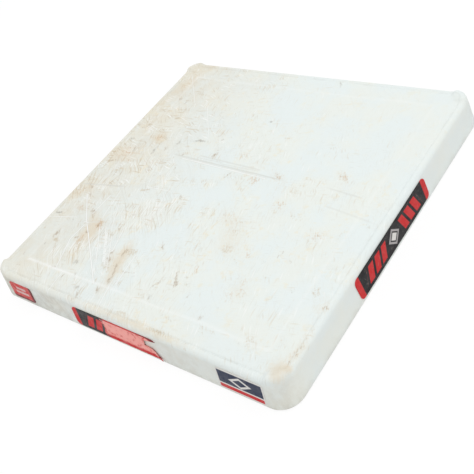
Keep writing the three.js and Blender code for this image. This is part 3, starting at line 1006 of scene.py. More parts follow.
@dataclass
class RubberCover:
    """The moulded cover: top panel, groove, rim with its ears, leaning walls, foot, lip and pocket."""

    side: float = 381.0
    height: float = 33.0
    wall_lean: float = 5.5
    corner_radius: float = 22.0
    rim_radius: float = 5.0
    rim_width: float = 5.0
    groove_width: float = 3.0
    groove_depth: float = 0.6
    ear_rise: float = 3.0
    ear_run: float = 4.0
    ear_ramp: float = 7.0
    ear_fade: float = 8.0
    foot_radius: float = 3.0
    foot_width: float = 20.0
    wall_thickness: float = 33.5
    skin_thickness: float = 6.0
    lip_reach: float = 20.0
    lip_bottom: float = 4.3
    lip_top: float = 9.3
    pocket_corner: float = 8.0
    rebate_corner: float = 8.5
    crease_width: float = 1.5
    crease_depth: float = 0.35
    gouge_depth: float = 0.2
    mark_bend: float = 1.1
    swell: float = 0.35
    wall_swell: float = 0.25
    edge_steps: int = 16
    panel_steps: int = 204
    rim_steps: int = 8
    wall_steps: int = 9
    foot_steps: int = 5
    piece: bpy.types.Object = field(init=False)

    @property
    def lean(self) -> float:
        """Angle of a wall from upright, in radians."""
        return math.atan2(self.wall_lean, self.height)

    @property
    def half(self) -> float:
        """Middle to a wall's slope, drawn on down to the ground."""
        loss = self.foot_radius * ((1.0 + math.sin(self.lean)) / math.cos(self.lean) - 1.0)
        return self.side / 2.0 + loss

    @property
    def corner_centre(self) -> float:
        """Middle to the centre of a round corner, along either side."""
        return self.half - self.corner_radius

    @property
    def slope_middle(self) -> float:
        """Measure from the ground to the middle of a wall's flat slope, up the slope.

        Returns:
            The distance.
        """
        start = self.foot_radius * (1.0 + math.sin(self.lean))
        end = self.height - self.rim_radius * (1.0 - math.sin(self.lean))
        return (start + end) / 2.0 / math.cos(self.lean)

    @property
    def groove_inset(self) -> float:
        """Foot of the wall to the outer edge of the groove, seen from above."""
        return self.wall_lean + self.rim_width

    def rounding(self, radius: float, level: float, start: float, end: float, steps: int) -> Array:
        """Follow an arc that touches the leaning wall.

        The arc's centre lies at a level, and (radius + level·sin lean) / cos lean inside the foot.

        Args:
            radius: Radius of the arc.
            level: Height of the arc's centre.
            start: First angle above the horizontal, in radians.
            end: Last angle.
            steps: Number of steps.

        Returns:
            Rows of the distance inside the foot and the height.
        """
        angle = np.linspace(start, end, steps + 1)
        centre = (radius + level * math.sin(self.lean)) / math.cos(self.lean)
        return np.stack([centre - radius * np.cos(angle), level + radius * np.sin(angle)], axis=1)

    def inset(self, x: Array, y: Array) -> Array:
        """Measure how far points lie inside the foot of the nearest wall or round corner.

        Args:
            x: First coordinate of each point.
            y: Second coordinate of each point.

        Returns:
            The distance inside, along the wall's or the corner's normal.
        """
        over_x, over_y = np.abs(x) - self.corner_centre, np.abs(y) - self.corner_centre
        in_corner = (over_x > 0.0) & (over_y > 0.0)
        past = np.where(in_corner, np.hypot(over_x, over_y), np.maximum(over_x, over_y))
        return self.corner_radius - past

    def ear(self, x: Array, y: Array) -> Array:
        """Raise an ear round each corner, from 0 to 1 along its ramp at either end.

        Args:
            x: First coordinate of each point.
            y: Second coordinate of each point.

        Returns:
            The share of the ear's full rise.
        """
        over_x, over_y = np.abs(x) - self.corner_centre, np.abs(y) - self.corner_centre
        angle = np.arctan2(np.maximum(over_y, 0.0), np.maximum(over_x, 1e-9))
        round_run = np.minimum(angle, math.pi / 2.0 - angle) * self.corner_radius
        in_corner = (over_x > 0.0) & (over_y > 0.0)
        run = np.where(in_corner, round_run, np.minimum(over_x, over_y))
        return smoothstep(0.0, self.ear_ramp, self.ear_run + run)

    def panel_grid(self) -> tuple[Array, Array]:
        """Press a square grid onto the rounded square inside the rim.

        Beyond the corners' centres, the larger of a point's two offsets becomes its radius, and the
        smaller one's share of it an angle of up to an eighth of a turn. Lines lie closer at the edge.

        Returns:
            The two coordinates of the grid's points.
        """
        centre = self.corner_centre
        rim_level = self.height - self.rim_radius
        rim_inset = self.rounding(self.rim_radius, rim_level, math.pi / 2.0, 0.0, 1)[0, 0]
        outer = np.linspace(centre, self.half - rim_inset, self.edge_steps + 1)
        inner = np.linspace(-centre, centre, self.panel_steps + 1)
        line = np.concatenate([-outer[:0:-1], inner, outer[1:]])
        x, y = np.meshgrid(line, line)
        over_x, over_y = np.abs(x) - centre, np.abs(y) - centre
        in_corner = (over_x > 0.0) & (over_y > 0.0)
        large, small = np.maximum(over_x, over_y), np.minimum(over_x, over_y)
        turn = math.pi / 4.0 * small / np.where(in_corner, large, 1.0)
        near, far = large * np.cos(turn), large * np.sin(turn)
        x_leads = over_x >= over_y
        round_x = np.sign(x) * (centre + np.where(x_leads, near, far))
        round_y = np.sign(y) * (centre + np.where(x_leads, far, near))
        return np.where(in_corner, round_x, x), np.where(in_corner, round_y, y)

    def stains(self, x: Array, y: Array) -> dict[Tone, Array]:
        """Add up the marks and strokes of each tone, bent by ripples, with a film round them.

        Args:
            x: First coordinate of each point.
            y: Second coordinate of each point.

        Returns:
            The strength of each tone at each point.
        """
        bent_x = x + self.mark_bend * ripples(x, y, 16.0, 5, 21)
        bent_y = y + self.mark_bend * ripples(x, y, 16.0, 5, 22)
        total = {}
        for tone, marks in MARKS.items():
            total[tone] = sum(mark.spread(bent_x, bent_y) for mark in marks)
        for tone, strokes in STROKES.items():
            total[tone] = total[tone] + sum(mark.spread(bent_x, bent_y) for mark in strokes.marks())
        for tone in (Tone.TAN, Tone.ORANGE, Tone.BROWN):
            halos = sum(mark.halo(bent_x, bent_y) for mark in MARKS[tone])
            total[Tone.FILM] = total[Tone.FILM] + halos
        return total

    def crease(self, x: Array, y: Array) -> Array:
        """Draw the line where the panel bends over the pocket's edge: a bell, clearest along the front. It
        cuts a shallow dip, and the finish paints it as a highlight.

        Args:
            x: First coordinate of each point.
            y: Second coordinate of each point.

        Returns:
            The line's share, from 0 to 1.
        """
        off = self.half - np.maximum(np.abs(x), np.abs(y)) - self.wall_thickness
        off = off + 0.8 * ripples(x, y, 160.0, 3, 5)
        fade = 0.5 + 0.5 * ripples(x, y, 120.0, 4, 6)
        side = np.where(-y > np.abs(x), 0.45 + 0.55 * smoothstep(-20.0, -110.0, x), 0.25)
        return np.exp(-((off / self.crease_width) ** 2)) * np.clip(fade + 0.4, 0.3, 1.0) * side

    def groove(self, inset: Array) -> Array:
        """Cut the groove inside the rim as a squared sine across its width.

        Args:
            inset: Distance inside the foot of the wall.

        Returns:
            The share of the groove's depth, from 0 to 1.
        """
        share = np.clip((inset - self.groove_inset) / self.groove_width, 0.0, 1.0)
        return np.sin(math.pi * share) ** 2

    def panel_heights(self, x: Array, y: Array) -> Array:
        """Give the top panel's height: level, plus ears and swell, minus groove, crease and gouges.

        Args:
            x: First coordinate of each point.
            y: Second coordinate of each point.

        Returns:
            The heights.
        """
        inset = self.inset(x, y)
        fade_end = self.groove_inset + self.groove_width + self.ear_fade
        ears = self.ear_rise * self.ear(x, y) * (1.0 - smoothstep(self.groove_inset, fade_end, inset))
        calm = smoothstep(self.groove_inset, fade_end + self.ear_fade, inset)
        swell = self.swell * calm * ripples(x, y, 150.0, 7, 2)
        stains = self.stains(x, y)
        gouges = self.gouge_depth * np.clip(stains[Tone.BROWN] + stains[Tone.GREY], 0.0, 1.0) * calm
        groove = self.groove_depth * self.groove(inset) * (1.0 - self.ear(x, y))
        cuts = groove + self.crease_depth * self.crease(x, y) + gouges
        return self.height + ears + swell - cuts

    def ring(self, anchors: Array, normals: Array, half: float, radius: Any, level: Any) -> Array:
        """Carry a ring of points onto a rounded square.

        A point is its anchor on the corners' square, scaled to the ring's size, plus the radius along
        its normal.

        Args:
            anchors: Points on the square of the corners' centres.
            normals: Directions out of the ring.
            half: Half of the ring's width.
            radius: Corner radius, one for all or one for each point.
            level: Height, one for all or one for each point.

        Returns:
            Rows of three coordinates.
        """
        radius = np.broadcast_to(radius, len(anchors))
        scale = (half - np.mean(radius)) / self.corner_centre
        flat = anchors * scale + radius[:, None] * normals
        return np.column_stack([flat, np.broadcast_to(level, len(anchors))])

    def edge_rings(self, anchors: Array, normals: Array) -> list[Array]:
        """Build the rings from the rim down the wall, under the foot and into the pocket.

        Args:
            anchors: Points on the square of the corners' centres.
            normals: Directions out of the cover.

        Returns:
            The rings in order, outwards, down and in again.
        """
        lean, centre = self.lean, self.corner_centre
        rim_path = anchors + self.corner_radius * normals
        rise = self.ear_rise * self.ear(rim_path[:, 0], rim_path[:, 1])
        rim_level = self.height - self.rim_radius
        rim = self.rounding(self.rim_radius, rim_level, math.pi / 2.0, lean, self.rim_steps)
        foot = self.rounding(self.foot_radius, self.foot_radius, lean, -math.pi / 2.0, self.foot_steps)
        rings = []
        for inset, level in rim[1:]:
            flat = anchors + (self.corner_radius - inset - rise * math.tan(lean))[:, None] * normals
            rings.append(np.column_stack([flat, level + rise]))
        foot_inset, foot_level = foot[0]
        foot_half, foot_corner = self.half - foot_inset, self.corner_radius - foot_inset
        top, bottom = rings[-1], self.ring(anchors, normals, foot_half, foot_corner, foot_level)
        along = np.arctan2(rim_path[:, 1], rim_path[:, 0]) * centre
        for share in np.linspace(0.0, 1.0, self.wall_steps + 1)[1:-1]:
            down = np.full_like(along, 60.0 * share)
            swell = self.wall_swell * math.sin(math.pi * share) * ripples(along, down, 110.0, 6, 3)
            middle = top + share * (bottom - top)
            middle[:, :2] += swell[:, None] * normals
            rings.append(middle)
        for inset, level in foot:
            rings.append(self.ring(anchors, normals, self.half - inset, self.corner_radius - inset, level))
        pocket = self.half - self.wall_thickness
        lip = pocket - self.lip_reach
        ceiling = self.height - self.skin_thickness
        rebate = self.half - self.foot_width
        inside = (
            (rebate, self.rebate_corner, 0.0),
            (rebate, self.rebate_corner, self.lip_bottom),
            (lip, self.pocket_corner, self.lip_bottom),
            (lip, self.pocket_corner, self.lip_top),
            (pocket, self.pocket_corner, self.lip_top),
            (pocket, self.pocket_corner, ceiling),
            (pocket / 2.0, self.pocket_corner, ceiling),
        )
        rings.extend(self.ring(anchors, normals, half, radius, level) for half, radius, level in inside)
        return rings

    def build(self) -> None:
        """Make the cover from the top panel's grid and the rings that hang from its border."""
        x, y = self.panel_grid()
        rows, columns = x.shape
        panel = np.column_stack([x.ravel(), y.ravel(), self.panel_heights(x, y).ravel()])
        border = grid_border(rows, columns)
        edge = panel[border, :2]
        anchors = np.clip(edge, -self.corner_centre, self.corner_centre)
        normals = edge - anchors
        normals /= np.linalg.norm(normals, axis=1, keepdims=True)
        rings = self.edge_rings(anchors, normals)
        ceiling_middle = np.array([[0.0, 0.0, self.height - self.skin_thickness]])
        points = np.concatenate([panel, *rings, ceiling_middle])
        faces = [grid_quads(rows, columns)]
        upper = border
        for index in range(len(rings)):
            lower = len(panel) + index * len(border) + np.arange(len(border))
            faces.append(ring_quads(upper, lower))
            upper = lower
        middle = np.full(len(border), len(points) - 1)
        faces.append(np.stack([upper, middle, np.roll(upper, -1)], axis=1))
        self.piece = make_piece("cover_shell", points, faces)
        course = np.stack([panel[border], *rings])
        run = np.linalg.norm(np.diff(course, axis=0), axis=2).cumsum(axis=0)
        around = (edge + run[:, :, None] * normals).reshape(-1, 2)
        self.store_marks(points, np.concatenate([panel[:, :2], around, [[0.0, 0.0]]]))

    def store_marks(self, points: Array, unrolled: Array) -> None:
        """Store what the finish reads: unrolled coordinates, marks, wear, grime with painted shade, the
        crease that the finish paints as a highlight, and scratches.

        Args:
            points: All of the cover's points.
            unrolled: The points' places with the walls laid out flat round the top panel.
        """
        x, y, z = points.T
        flat_x, flat_y = unrolled.T
        flat = np.column_stack([unrolled, np.full(len(unrolled), self.height)])
        rim_level = self.height - self.rim_radius
        on_top = smoothstep(rim_level, self.height - 0.6 * self.rim_radius, z)
        stored = {"unrolled": flat * MM, "crease": self.crease(x, y) * on_top}
        stored |= {tone.value: strength for tone, strength in self.stains(flat_x, flat_y).items()}
        stored |= self.wear(x, y, on_top)
        # Grime on the walls, with painted shade in the groove and at the foot of the walls
        stored |= {"grime_and_shade": self.grime_and_shade(x, y, z, on_top)}
        stored |= self.scored_lines(flat_x, flat_y, on_top)
        for name, values in stored.items():
            set_attribute(self.piece, name, values)

    def wall_shares(self, x: Array, y: Array) -> tuple[Array, Array, Array]:
        """Ease in near the front, left and back walls, from 0 inside to 1 at the wall.

        Args:
            x: First coordinate of each point.
            y: Second coordinate of each point.

        Returns:
            The shares of the front, the left and the back.
        """
        inside, outside = 150.0, 180.0
        return tuple(smoothstep(inside, outside, way) for way in (-y, -x, y))

    def wear(self, x: Array, y: Array, on_top: Array) -> dict[str, Array]:
        """Ease each kind of wear in and out across the top, and let some of it run down the walls.

        The veil of dust thickens to the left and front. Scuffs lie at the front left, rubbing along the
        left side, and curls all over, fewer at the right and the back right.

        Args:
            x: First coordinate of each point.
            y: Second coordinate of each point.
            on_top: Share of the top, from 0 on the walls to 1 on the panel.

        Returns:
            The strength of each kind of wear, by the attribute's name.
        """
        at_front, at_left, at_back = self.wall_shares(x, y)
        dusty = 0.02 + 0.85 * smoothstep(-10.0, -205.0, x - 0.1 * y) + 0.1 * smoothstep(-120.0, -180.0, y)
        veil = np.clip(dusty * (0.85 + 0.2 * ripples(x, y, 70.0, 6, 8)), 0.0, 1.0)
        on_wall = 0.15 + 0.25 * at_front
        scuffed = 0.1 + 0.9 * smoothstep(60.0, -90.0, x) * smoothstep(110.0, -60.0, y)
        calm = 1.0 - 0.6 * smoothstep(220.0, 320.0, -x - y)
        rubbed = smoothstep(50.0, -130.0, x) * (0.35 + 0.65 * smoothstep(-130.0, -20.0, y))
        rubbed = rubbed * (1.0 - 0.2 * smoothstep(40.0, 160.0, y))
        far_right = smoothstep(30.0, 160.0, y) * smoothstep(-150.0, 30.0, x)
        curled = 0.9 - 0.28 * smoothstep(-60.0, 130.0, x) - 0.3 * far_right
        regions = {Region.SCUFFED: scuffed * calm, Region.RUBBED: rubbed, Region.CURLED: curled * calm}
        worn = on_top + (0.2 + 0.4 * at_left + 0.2 * at_back) * (1.0 - on_top)
        shares = {region.value: share * worn for region, share in regions.items()}
        return {"veil": veil * on_top + on_wall * (1.0 - on_top)} | shares

    def grime_and_shade(self, x: Array, y: Array, z: Array, on_top: Array) -> Array:
        """Darken the groove and the foot of the walls with painted shade, and lay grime on the walls, most
        at the left.

        Args:
            x: First coordinate of each point.
            y: Second coordinate of each point.
            z: Height of each point.
            on_top: Share of the top, from 0 on the walls to 1 on the panel.

        Returns:
            The strength of the grime and painted shade, from 0 to 1.
        """
        at_front, at_left, at_back = self.wall_shares(x, y)
        on_front = at_front * (0.2 + 0.6 * smoothstep(40.0, -190.0, x))
        on_left = at_left * (0.4 + 0.4 * smoothstep(60.0, -190.0, y))
        on_back = at_back * (0.2 + 0.2 * smoothstep(40.0, -190.0, x))
        on_walls = np.maximum(np.maximum(on_front, on_left), on_back) * (1.0 - on_top)
        # Painted shade: darker within a few millimetres of the ground and in the groove
        low_wall = 1.0 - smoothstep(1.0, 9.0, z)
        in_groove = self.groove(self.inset(x, y)) * on_top
        return np.clip(0.3 * in_groove + 0.5 * low_wall + on_walls, 0.0, 1.0)

    def scored_lines(self, x: Array, y: Array, on_top: Array) -> dict[str, Array]:
        """Find the nearest scratch at each point, and how far beside it the point lies.

        Args:
            x: First unrolled coordinate of each point.
            y: Second unrolled coordinate of each point.
            on_top: Share of the top, from 0 on the walls to 1 on the panel.

        Returns:
            The distance beside the scratch, its clearness and its dirt, by the attribute's name.
        """
        offsets = [scratch.offsets(x, y) for scratch in SCRATCHES]
        side, past = (np.array(values) for values in zip(*offsets))
        nearest = np.argmin(np.abs(side) + 3.0 * past, axis=0)
        pick = np.arange(len(x))
        side, past = side[nearest, pick], past[nearest, pick]
        near = smoothstep(4.5, 3.0, np.abs(side)) * smoothstep(18.0, 0.0, past)
        clear = np.array([scratch.clear for scratch in SCRATCHES])[nearest]
        dirt = np.array([scratch.dirt for scratch in SCRATCHES])[nearest]
        return {"scratch_side": side, "scratch_near": near * clear * on_top, "scratch_dirt": dirt}

    def dress(self, finish: RubberFinish) -> None:
        """Give the cover its finish and let it stand for its solid."""
        stand_in(self.piece, finish.material(), "rubber_cover")


class Wall(Enum):
    """A wall of the base, as quarter turns from the front."""

    FRONT = 0
    RIGHT = 1


class Print(Enum):
    """The plain designs printed on the labels."""

    STRIP = "strip"
    WORN_STRIP = "worn_strip"
    CORNER = "corner"
    BADGE = "badge"


@dataclass(frozen=True)
class Canvas:
    """A label's node tree, with the place on the label and the Object coordinates."""

    graph: NodeGraph
    across: Socket
    up: Socket
    place: Socket
    softness: float = 0.8

    def within(self, value: Any, edge: float, soft: float | None = None) -> Socket:
        """Give 1 where a value is under an edge and 0 over it, eased over a soft width.

        Args:
            value: Socket to test.
            edge: Value at the middle of the ease.
            soft: Width of the ease, or none for the canvas's own.

        Returns:
            The share's socket.
        """
        half = (self.softness if soft is None else soft) / 2.0
        return self.graph.ease(value, edge - half, edge + half, 1.0, 0.0)

    def size(self, value: Any) -> Socket:
        """Give a value without its sign."""
        return self.graph.math("ABSOLUTE", value)

    def both(self, first: Any, second: Any) -> Socket:
        """Multiply two shares."""
        return self.graph.math("MULTIPLY", first, second)

    def diamond(self, up: Any, wide: float, high: float) -> Socket:
        """Measure against a diamond: |across| / wide + |up| / high, which is 1 on its edge.

        Args:
            up: Distance above the diamond's middle.
            wide: Half of its width.
            high: Half of its height.

        Returns:
            The measure's socket.
        """
        side = self.graph.math("DIVIDE", self.size(self.across), wide)
        rise = self.graph.math("DIVIDE", self.size(up), high)
        return self.graph.math("ADD", side, rise)


@dataclass(frozen=True)
class VinylFinish:
    """Printed vinyl: plain bars, bands and diamonds, rubbed and a little dirty."""

    design: Print
    width: float
    height: float
    black: Colour = srgb(22, 19, 22)
    red: Colour = srgb(204, 36, 38)
    deep_red: Colour = srgb(120, 36, 40)
    white: Colour = srgb(226, 224, 220)
    grey: Colour = srgb(176, 172, 172)
    navy: Colour = srgb(36, 45, 72)
    bare: Colour = srgb(229, 150, 143)
    film: Colour = srgb(252, 170, 161)
    dust: Colour = srgb(205, 196, 186)
    dust_share: float = 0.16
    end_band: float = 7.0
    bar_step: float = 12.0
    bar_width: float = 8.5
    bars_start: float = 15.0
    bars_end: float = 51.0
    bar_slant: float = 20.0
    bar_reach: float = 0.34
    strip_diamond: tuple[float, float] = (10.0, 9.0)
    badge_diamond: tuple[float, float] = (12.0, 6.5)
    badge_band: float = 0.22
    badge_margin: float = 1.5
    corner_bars: tuple[tuple[float, float], ...] = ((0.2, 0.22), (-0.06, 0.3))
    corner_bar_half: float = 1.6

    def material(self) -> bpy.types.Material:
        """Draw the design on the label's own coordinates and rub it.

        Returns:
            The material, which reads the label's attribute label_place in millimetres.
        """
        graph = NodeGraph(f"vinyl_{self.design.value}")
        across, up, _ = graph.axes(graph.attribute("label_place", "Vector"))
        canvas = Canvas(graph, across, up, graph.place())
        draw = {
            Print.STRIP: self.strip,
            Print.WORN_STRIP: self.worn_strip,
            Print.CORNER: self.corner,
            Print.BADGE: self.badge,
        }[self.design]
        rub = graph.ease(graph.noise(canvas.place, 260.0, 5.0, 0.7), 0.52, 0.8)
        colour = graph.blend(canvas.both(rub, self.dust_share), draw(canvas), self.dust)
        rough = graph.ease(graph.noise(canvas.place, 150.0, 3.0), 0.3, 0.7, 0.34, 0.6)
        normal = graph.bump(graph.noise(canvas.place, 500.0, 3.0), 0.15, 0.5)
        return graph.finish(Base_Color=colour, Roughness=rough, Normal=normal, Specular_IOR_Level=0.25)

    def strip(self, canvas: Canvas) -> Socket:
        """Draw a black strip with red ends, slanted red bars either side and a pale diamond in its middle.

        Args:
            canvas: The label's canvas.

        Returns:
            The colour's socket.
        """
        graph, soft = canvas.graph, canvas.softness
        away = canvas.size(canvas.across)
        slanted = graph.math("MULTIPLY_ADD", canvas.up, math.tan(math.radians(self.bar_slant)), away)
        step = graph.math("MODULO", graph.math("SUBTRACT", slanted, self.bars_start), self.bar_step)
        bar = canvas.within(step, self.bar_width)
        bar = canvas.both(bar, graph.ease(slanted, self.bars_start, self.bars_start + soft))
        bar = canvas.both(bar, canvas.within(slanted, self.bars_end))
        bar = canvas.both(bar, canvas.within(canvas.size(canvas.up), self.bar_reach * self.height))
        band = self.width / 2.0 - self.end_band
        ends = graph.ease(away, band - soft / 2.0, band + soft / 2.0)
        colour = graph.blend(graph.math("MAXIMUM", bar, ends), self.black, self.red)
        measure = canvas.diamond(canvas.up, *self.strip_diamond)
        for edge, shade in ((1.0, self.grey), (0.72, self.black), (0.52, self.white)):
            colour = graph.blend(canvas.within(measure, edge, 0.1), colour, shade)
        return colour

    def worn_strip(self, canvas: Canvas) -> Socket:
        """Draw the same strip with its print rubbed off to the right, down to the red film under it.

        Args:
            canvas: The label's canvas.

        Returns:
            The colour's socket.
        """
        graph, place = canvas.graph, canvas.place
        printed = self.strip(canvas)
        ragged = graph.math("MULTIPLY_ADD", graph.noise(place, 120.0, 4.0, 0.65), 26.0, canvas.across)
        worn = graph.ease(ragged, -12.0, -7.0)
        patch = graph.noise(place, 190.0, 4.0, 0.65)
        film = graph.blend(graph.ease(patch, 0.48, 0.78), self.film, self.red)
        low = graph.math("MULTIPLY_ADD", patch, 6.0, canvas.up)
        film = graph.blend(canvas.within(low, -0.18 * self.height, 3.0), film, self.red)
        rim = graph.blend(graph.ease(canvas.across, 10.0, 45.0), self.red, self.deep_red)
        upper = graph.ease(canvas.up, 0.42 * self.height, 0.47 * self.height)
        return graph.blend(worn, printed, graph.blend(upper, film, rim))

    def corner(self, canvas: Canvas) -> Socket:
        """Draw a rubbed red field with a dark edge at its right and foot, and two pale bars.

        Args:
            canvas: The label's canvas.

        Returns:
            The colour's socket.
        """
        graph = canvas.graph
        faded = graph.ease(graph.noise(canvas.place, 170.0, 4.0, 0.6), 0.35, 0.75)
        colour = graph.blend(canvas.both(faded, 0.6), self.red, self.bare)
        right = graph.ease(canvas.across, 0.4 * self.width, 0.43 * self.width)
        foot = canvas.within(canvas.up, -0.36 * self.height, 1.0)
        colour = graph.blend(graph.math("MAXIMUM", right, foot), colour, self.deep_red)
        for level, reach in self.corner_bars:
            off = canvas.size(graph.math("SUBTRACT", canvas.up, level * self.height))
            bar = canvas.within(off, self.corner_bar_half)
            bar = canvas.both(bar, canvas.within(canvas.size(canvas.across), reach * self.width))
            colour = graph.blend(canvas.both(bar, 0.6), colour, self.white)
        return colour

    def badge(self, canvas: Canvas) -> Socket:
        """Draw a white edge round a navy field with a white diamond line, over a red band.

        Args:
            canvas: The label's canvas.

        Returns:
            The colour's socket.
        """
        graph = canvas.graph
        line = self.badge_band * self.height
        colour = graph.blend(canvas.within(canvas.up, -line, 0.5), self.navy, self.red)
        parting = canvas.size(graph.math("ADD", canvas.up, line))
        colour = graph.blend(canvas.within(parting, 0.8, 0.5), colour, self.white)
        raised = graph.math("SUBTRACT", canvas.up, 0.1 * self.height)
        measure = canvas.diamond(raised, *self.badge_diamond)
        for edge, shade in ((1.0, self.white), (0.62, self.navy)):
            colour = graph.blend(canvas.within(measure, edge, 0.08), colour, shade)
        edges = []
        for way, half in ((canvas.across, self.width / 2.0), (canvas.up, self.height / 2.0)):
            start, end = half - self.badge_margin - 0.3, half - self.badge_margin + 0.3
            edges.append(graph.ease(canvas.size(way), start, end))
        return graph.blend(graph.math("MAXIMUM", *edges), colour, self.white)


@dataclass
class WallLabel:
    """A thin label stuck on a leaning wall, whole or with its right end torn off."""

    node: str
    slot: str
    wall: Wall
    design: Print
    width: float
    height: float
    corner: float = 3.0
    back_gap: float = 0.06
    thickness: float = 0.4
    rows: int = 41
    columns: int = 121
    tear_tip: float = 20.0
    tear_tip_height: float = 3.0
    tear_bite: float = 36.0
    tear_shoulder: float = 28.0
    tear_foot: float = 18.0
    tear_lift: float = 1.2
    piece: bpy.types.Object = field(init=False)

    @property
    def is_torn(self) -> bool:
        """Whether the right end is torn off."""
        return self.design is Print.WORN_STRIP

    def torn_end(self, up: Array) -> Array:
        """Follow the tear: a sliver that narrows to a tip at the top, a bite, then a lower tip.

        Args:
            up: Heights above the label's middle.

        Returns:
            The right end at each height.
        """
        right, top = self.width / 2.0, self.height / 2.0
        sliver = np.clip((up - top + self.tear_tip_height) / self.tear_tip_height, 0.0, 1.0)
        upper = right - self.tear_bite + sliver * (self.tear_bite - self.tear_tip)
        lower = right - self.tear_shoulder - up / top * (self.tear_shoulder - self.tear_foot)
        jag = 0.9 * ripples(up, np.zeros_like(up), 7.0, 5, 11)
        return np.where(up > 0.0, upper, lower) + jag * (1.0 - sliver)

    def outline(self) -> tuple[Array, Array]:
        """Spread a grid between the left and right ends at each height.

        An end is drawn in by corner - sqrt(corner² - d²), where d is the height past the corner's centre.

        Returns:
            The distances to the right of the label's middle, and the heights above it.
        """
        up = self.height / 2.0 * np.sin(np.linspace(-math.pi / 2.0, math.pi / 2.0, self.rows))
        past = np.maximum(np.abs(up) - self.height / 2.0 + self.corner, 0.0)
        drawn_in = self.corner - np.sqrt(np.maximum(self.corner**2 - past**2, 0.0))
        left = drawn_in - self.width / 2.0
        right = self.torn_end(up) if self.is_torn else -left
        share = np.linspace(0.0, 1.0, self.columns)
        across = left[:, None] + share[None, :] * (right - left)[:, None]
        return across, np.repeat(up[:, None], self.columns, axis=1)

    def lift(self, across: Array, up: Array) -> Array:
        """Let the label's surface ripple, and curl away from the wall at a torn end.

        Args:
            across: Distances to the right of the label's middle.
            up: Heights above it.

        Returns:
            The distances out of the wall.
        """
        ripple = 0.05 * (1.0 + ripples(across, up, 30.0, 5, 12))
        if not self.is_torn:
            return ripple
        left = self.torn_end(up) - across
        return ripple + self.tear_lift * smoothstep(9.0, 0.0, left) ** 2

    def on_wall(self, cover: RubberCover, along: Array, up: Array, out: Array) -> Array:
        """Place points on a wall: along it, up its slope from the ground, and out of it.

        Args:
            cover: The cover that the wall belongs to.
            along: Distance along the wall, to the right as seen from outside.
            up: Distance up the slope.
            out: Distance out of the wall.

        Returns:
            Rows of three coordinates.
        """
        sine, cosine = math.sin(cover.lean), math.cos(cover.lean)
        x, y = along, -cover.half + up * sine - out * cosine
        z = up * cosine + out * sine
        if self.wall is Wall.RIGHT:
            x, y = -y, x
        return np.column_stack([x.ravel(), y.ravel(), z.ravel()])

    def build(self, cover: RubberCover) -> None:
        """Make the label as a closed sheet: a front grid, a back grid and the band between their borders.

        Args:
            cover: The cover whose wall carries the label.
        """
        low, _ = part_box(self.node)
        start = (low.x if self.wall is Wall.FRONT else low.y) / MM
        across, up = self.outline()
        along, slope = across + start + self.width / 2.0, up + cover.slope_middle
        lift = self.lift(across, up)
        back = self.on_wall(cover, along, slope, self.back_gap + lift)
        front = self.on_wall(cover, along, slope, self.back_gap + lift + self.thickness)
        count = self.rows * self.columns
        border = grid_border(self.rows, self.columns)
        faces = [
            grid_quads(self.rows, self.columns),
            grid_quads(self.rows, self.columns, count)[:, ::-1],
            ring_quads(border, border + count),
        ]
        self.piece = make_piece(f"{self.node}_film", np.concatenate([front, back]), faces)
        place = np.column_stack([across.ravel(), up.ravel(), np.zeros(count)])
        set_attribute(self.piece, "label_place", np.concatenate([place, place]))

    def dress(self) -> None:
        """Print the label and let it stand for its solid."""
        finish = VinylFinish(self.design, self.width, self.height)
        stand_in(self.piece, finish.material(), self.node)


@dataclass(frozen=True)
class FoamFinish:
    """Cut closed-cell foam, its cells showing as fine pits."""

    pale: Colour = srgb(222, 210, 172)
    dark: Colour = srgb(196, 180, 138)
    pit_scale: float = 700.0
    mottle_scale: float = 60.0

    def material(self) -> bpy.types.Material:
        """Mottle the foam and pit it.

        Returns:
            The material.
        """
        graph = NodeGraph("core_foam")
        place = graph.place()
        pits = graph.ease(graph.cells(place, self.pit_scale).outputs["Distance"], 0.1, 0.6)
        mottle = graph.ease(graph.noise(place, self.mottle_scale, 4.0), 0.3, 0.7)
        colour = graph.blend(mottle, self.pale, self.dark)
        rough = graph.ease(pits, 0.0, 1.0, 1.0, 0.85)
        return graph.finish(Base_Color=colour, Roughness=rough, Normal=graph.bump(pits, 0.4))


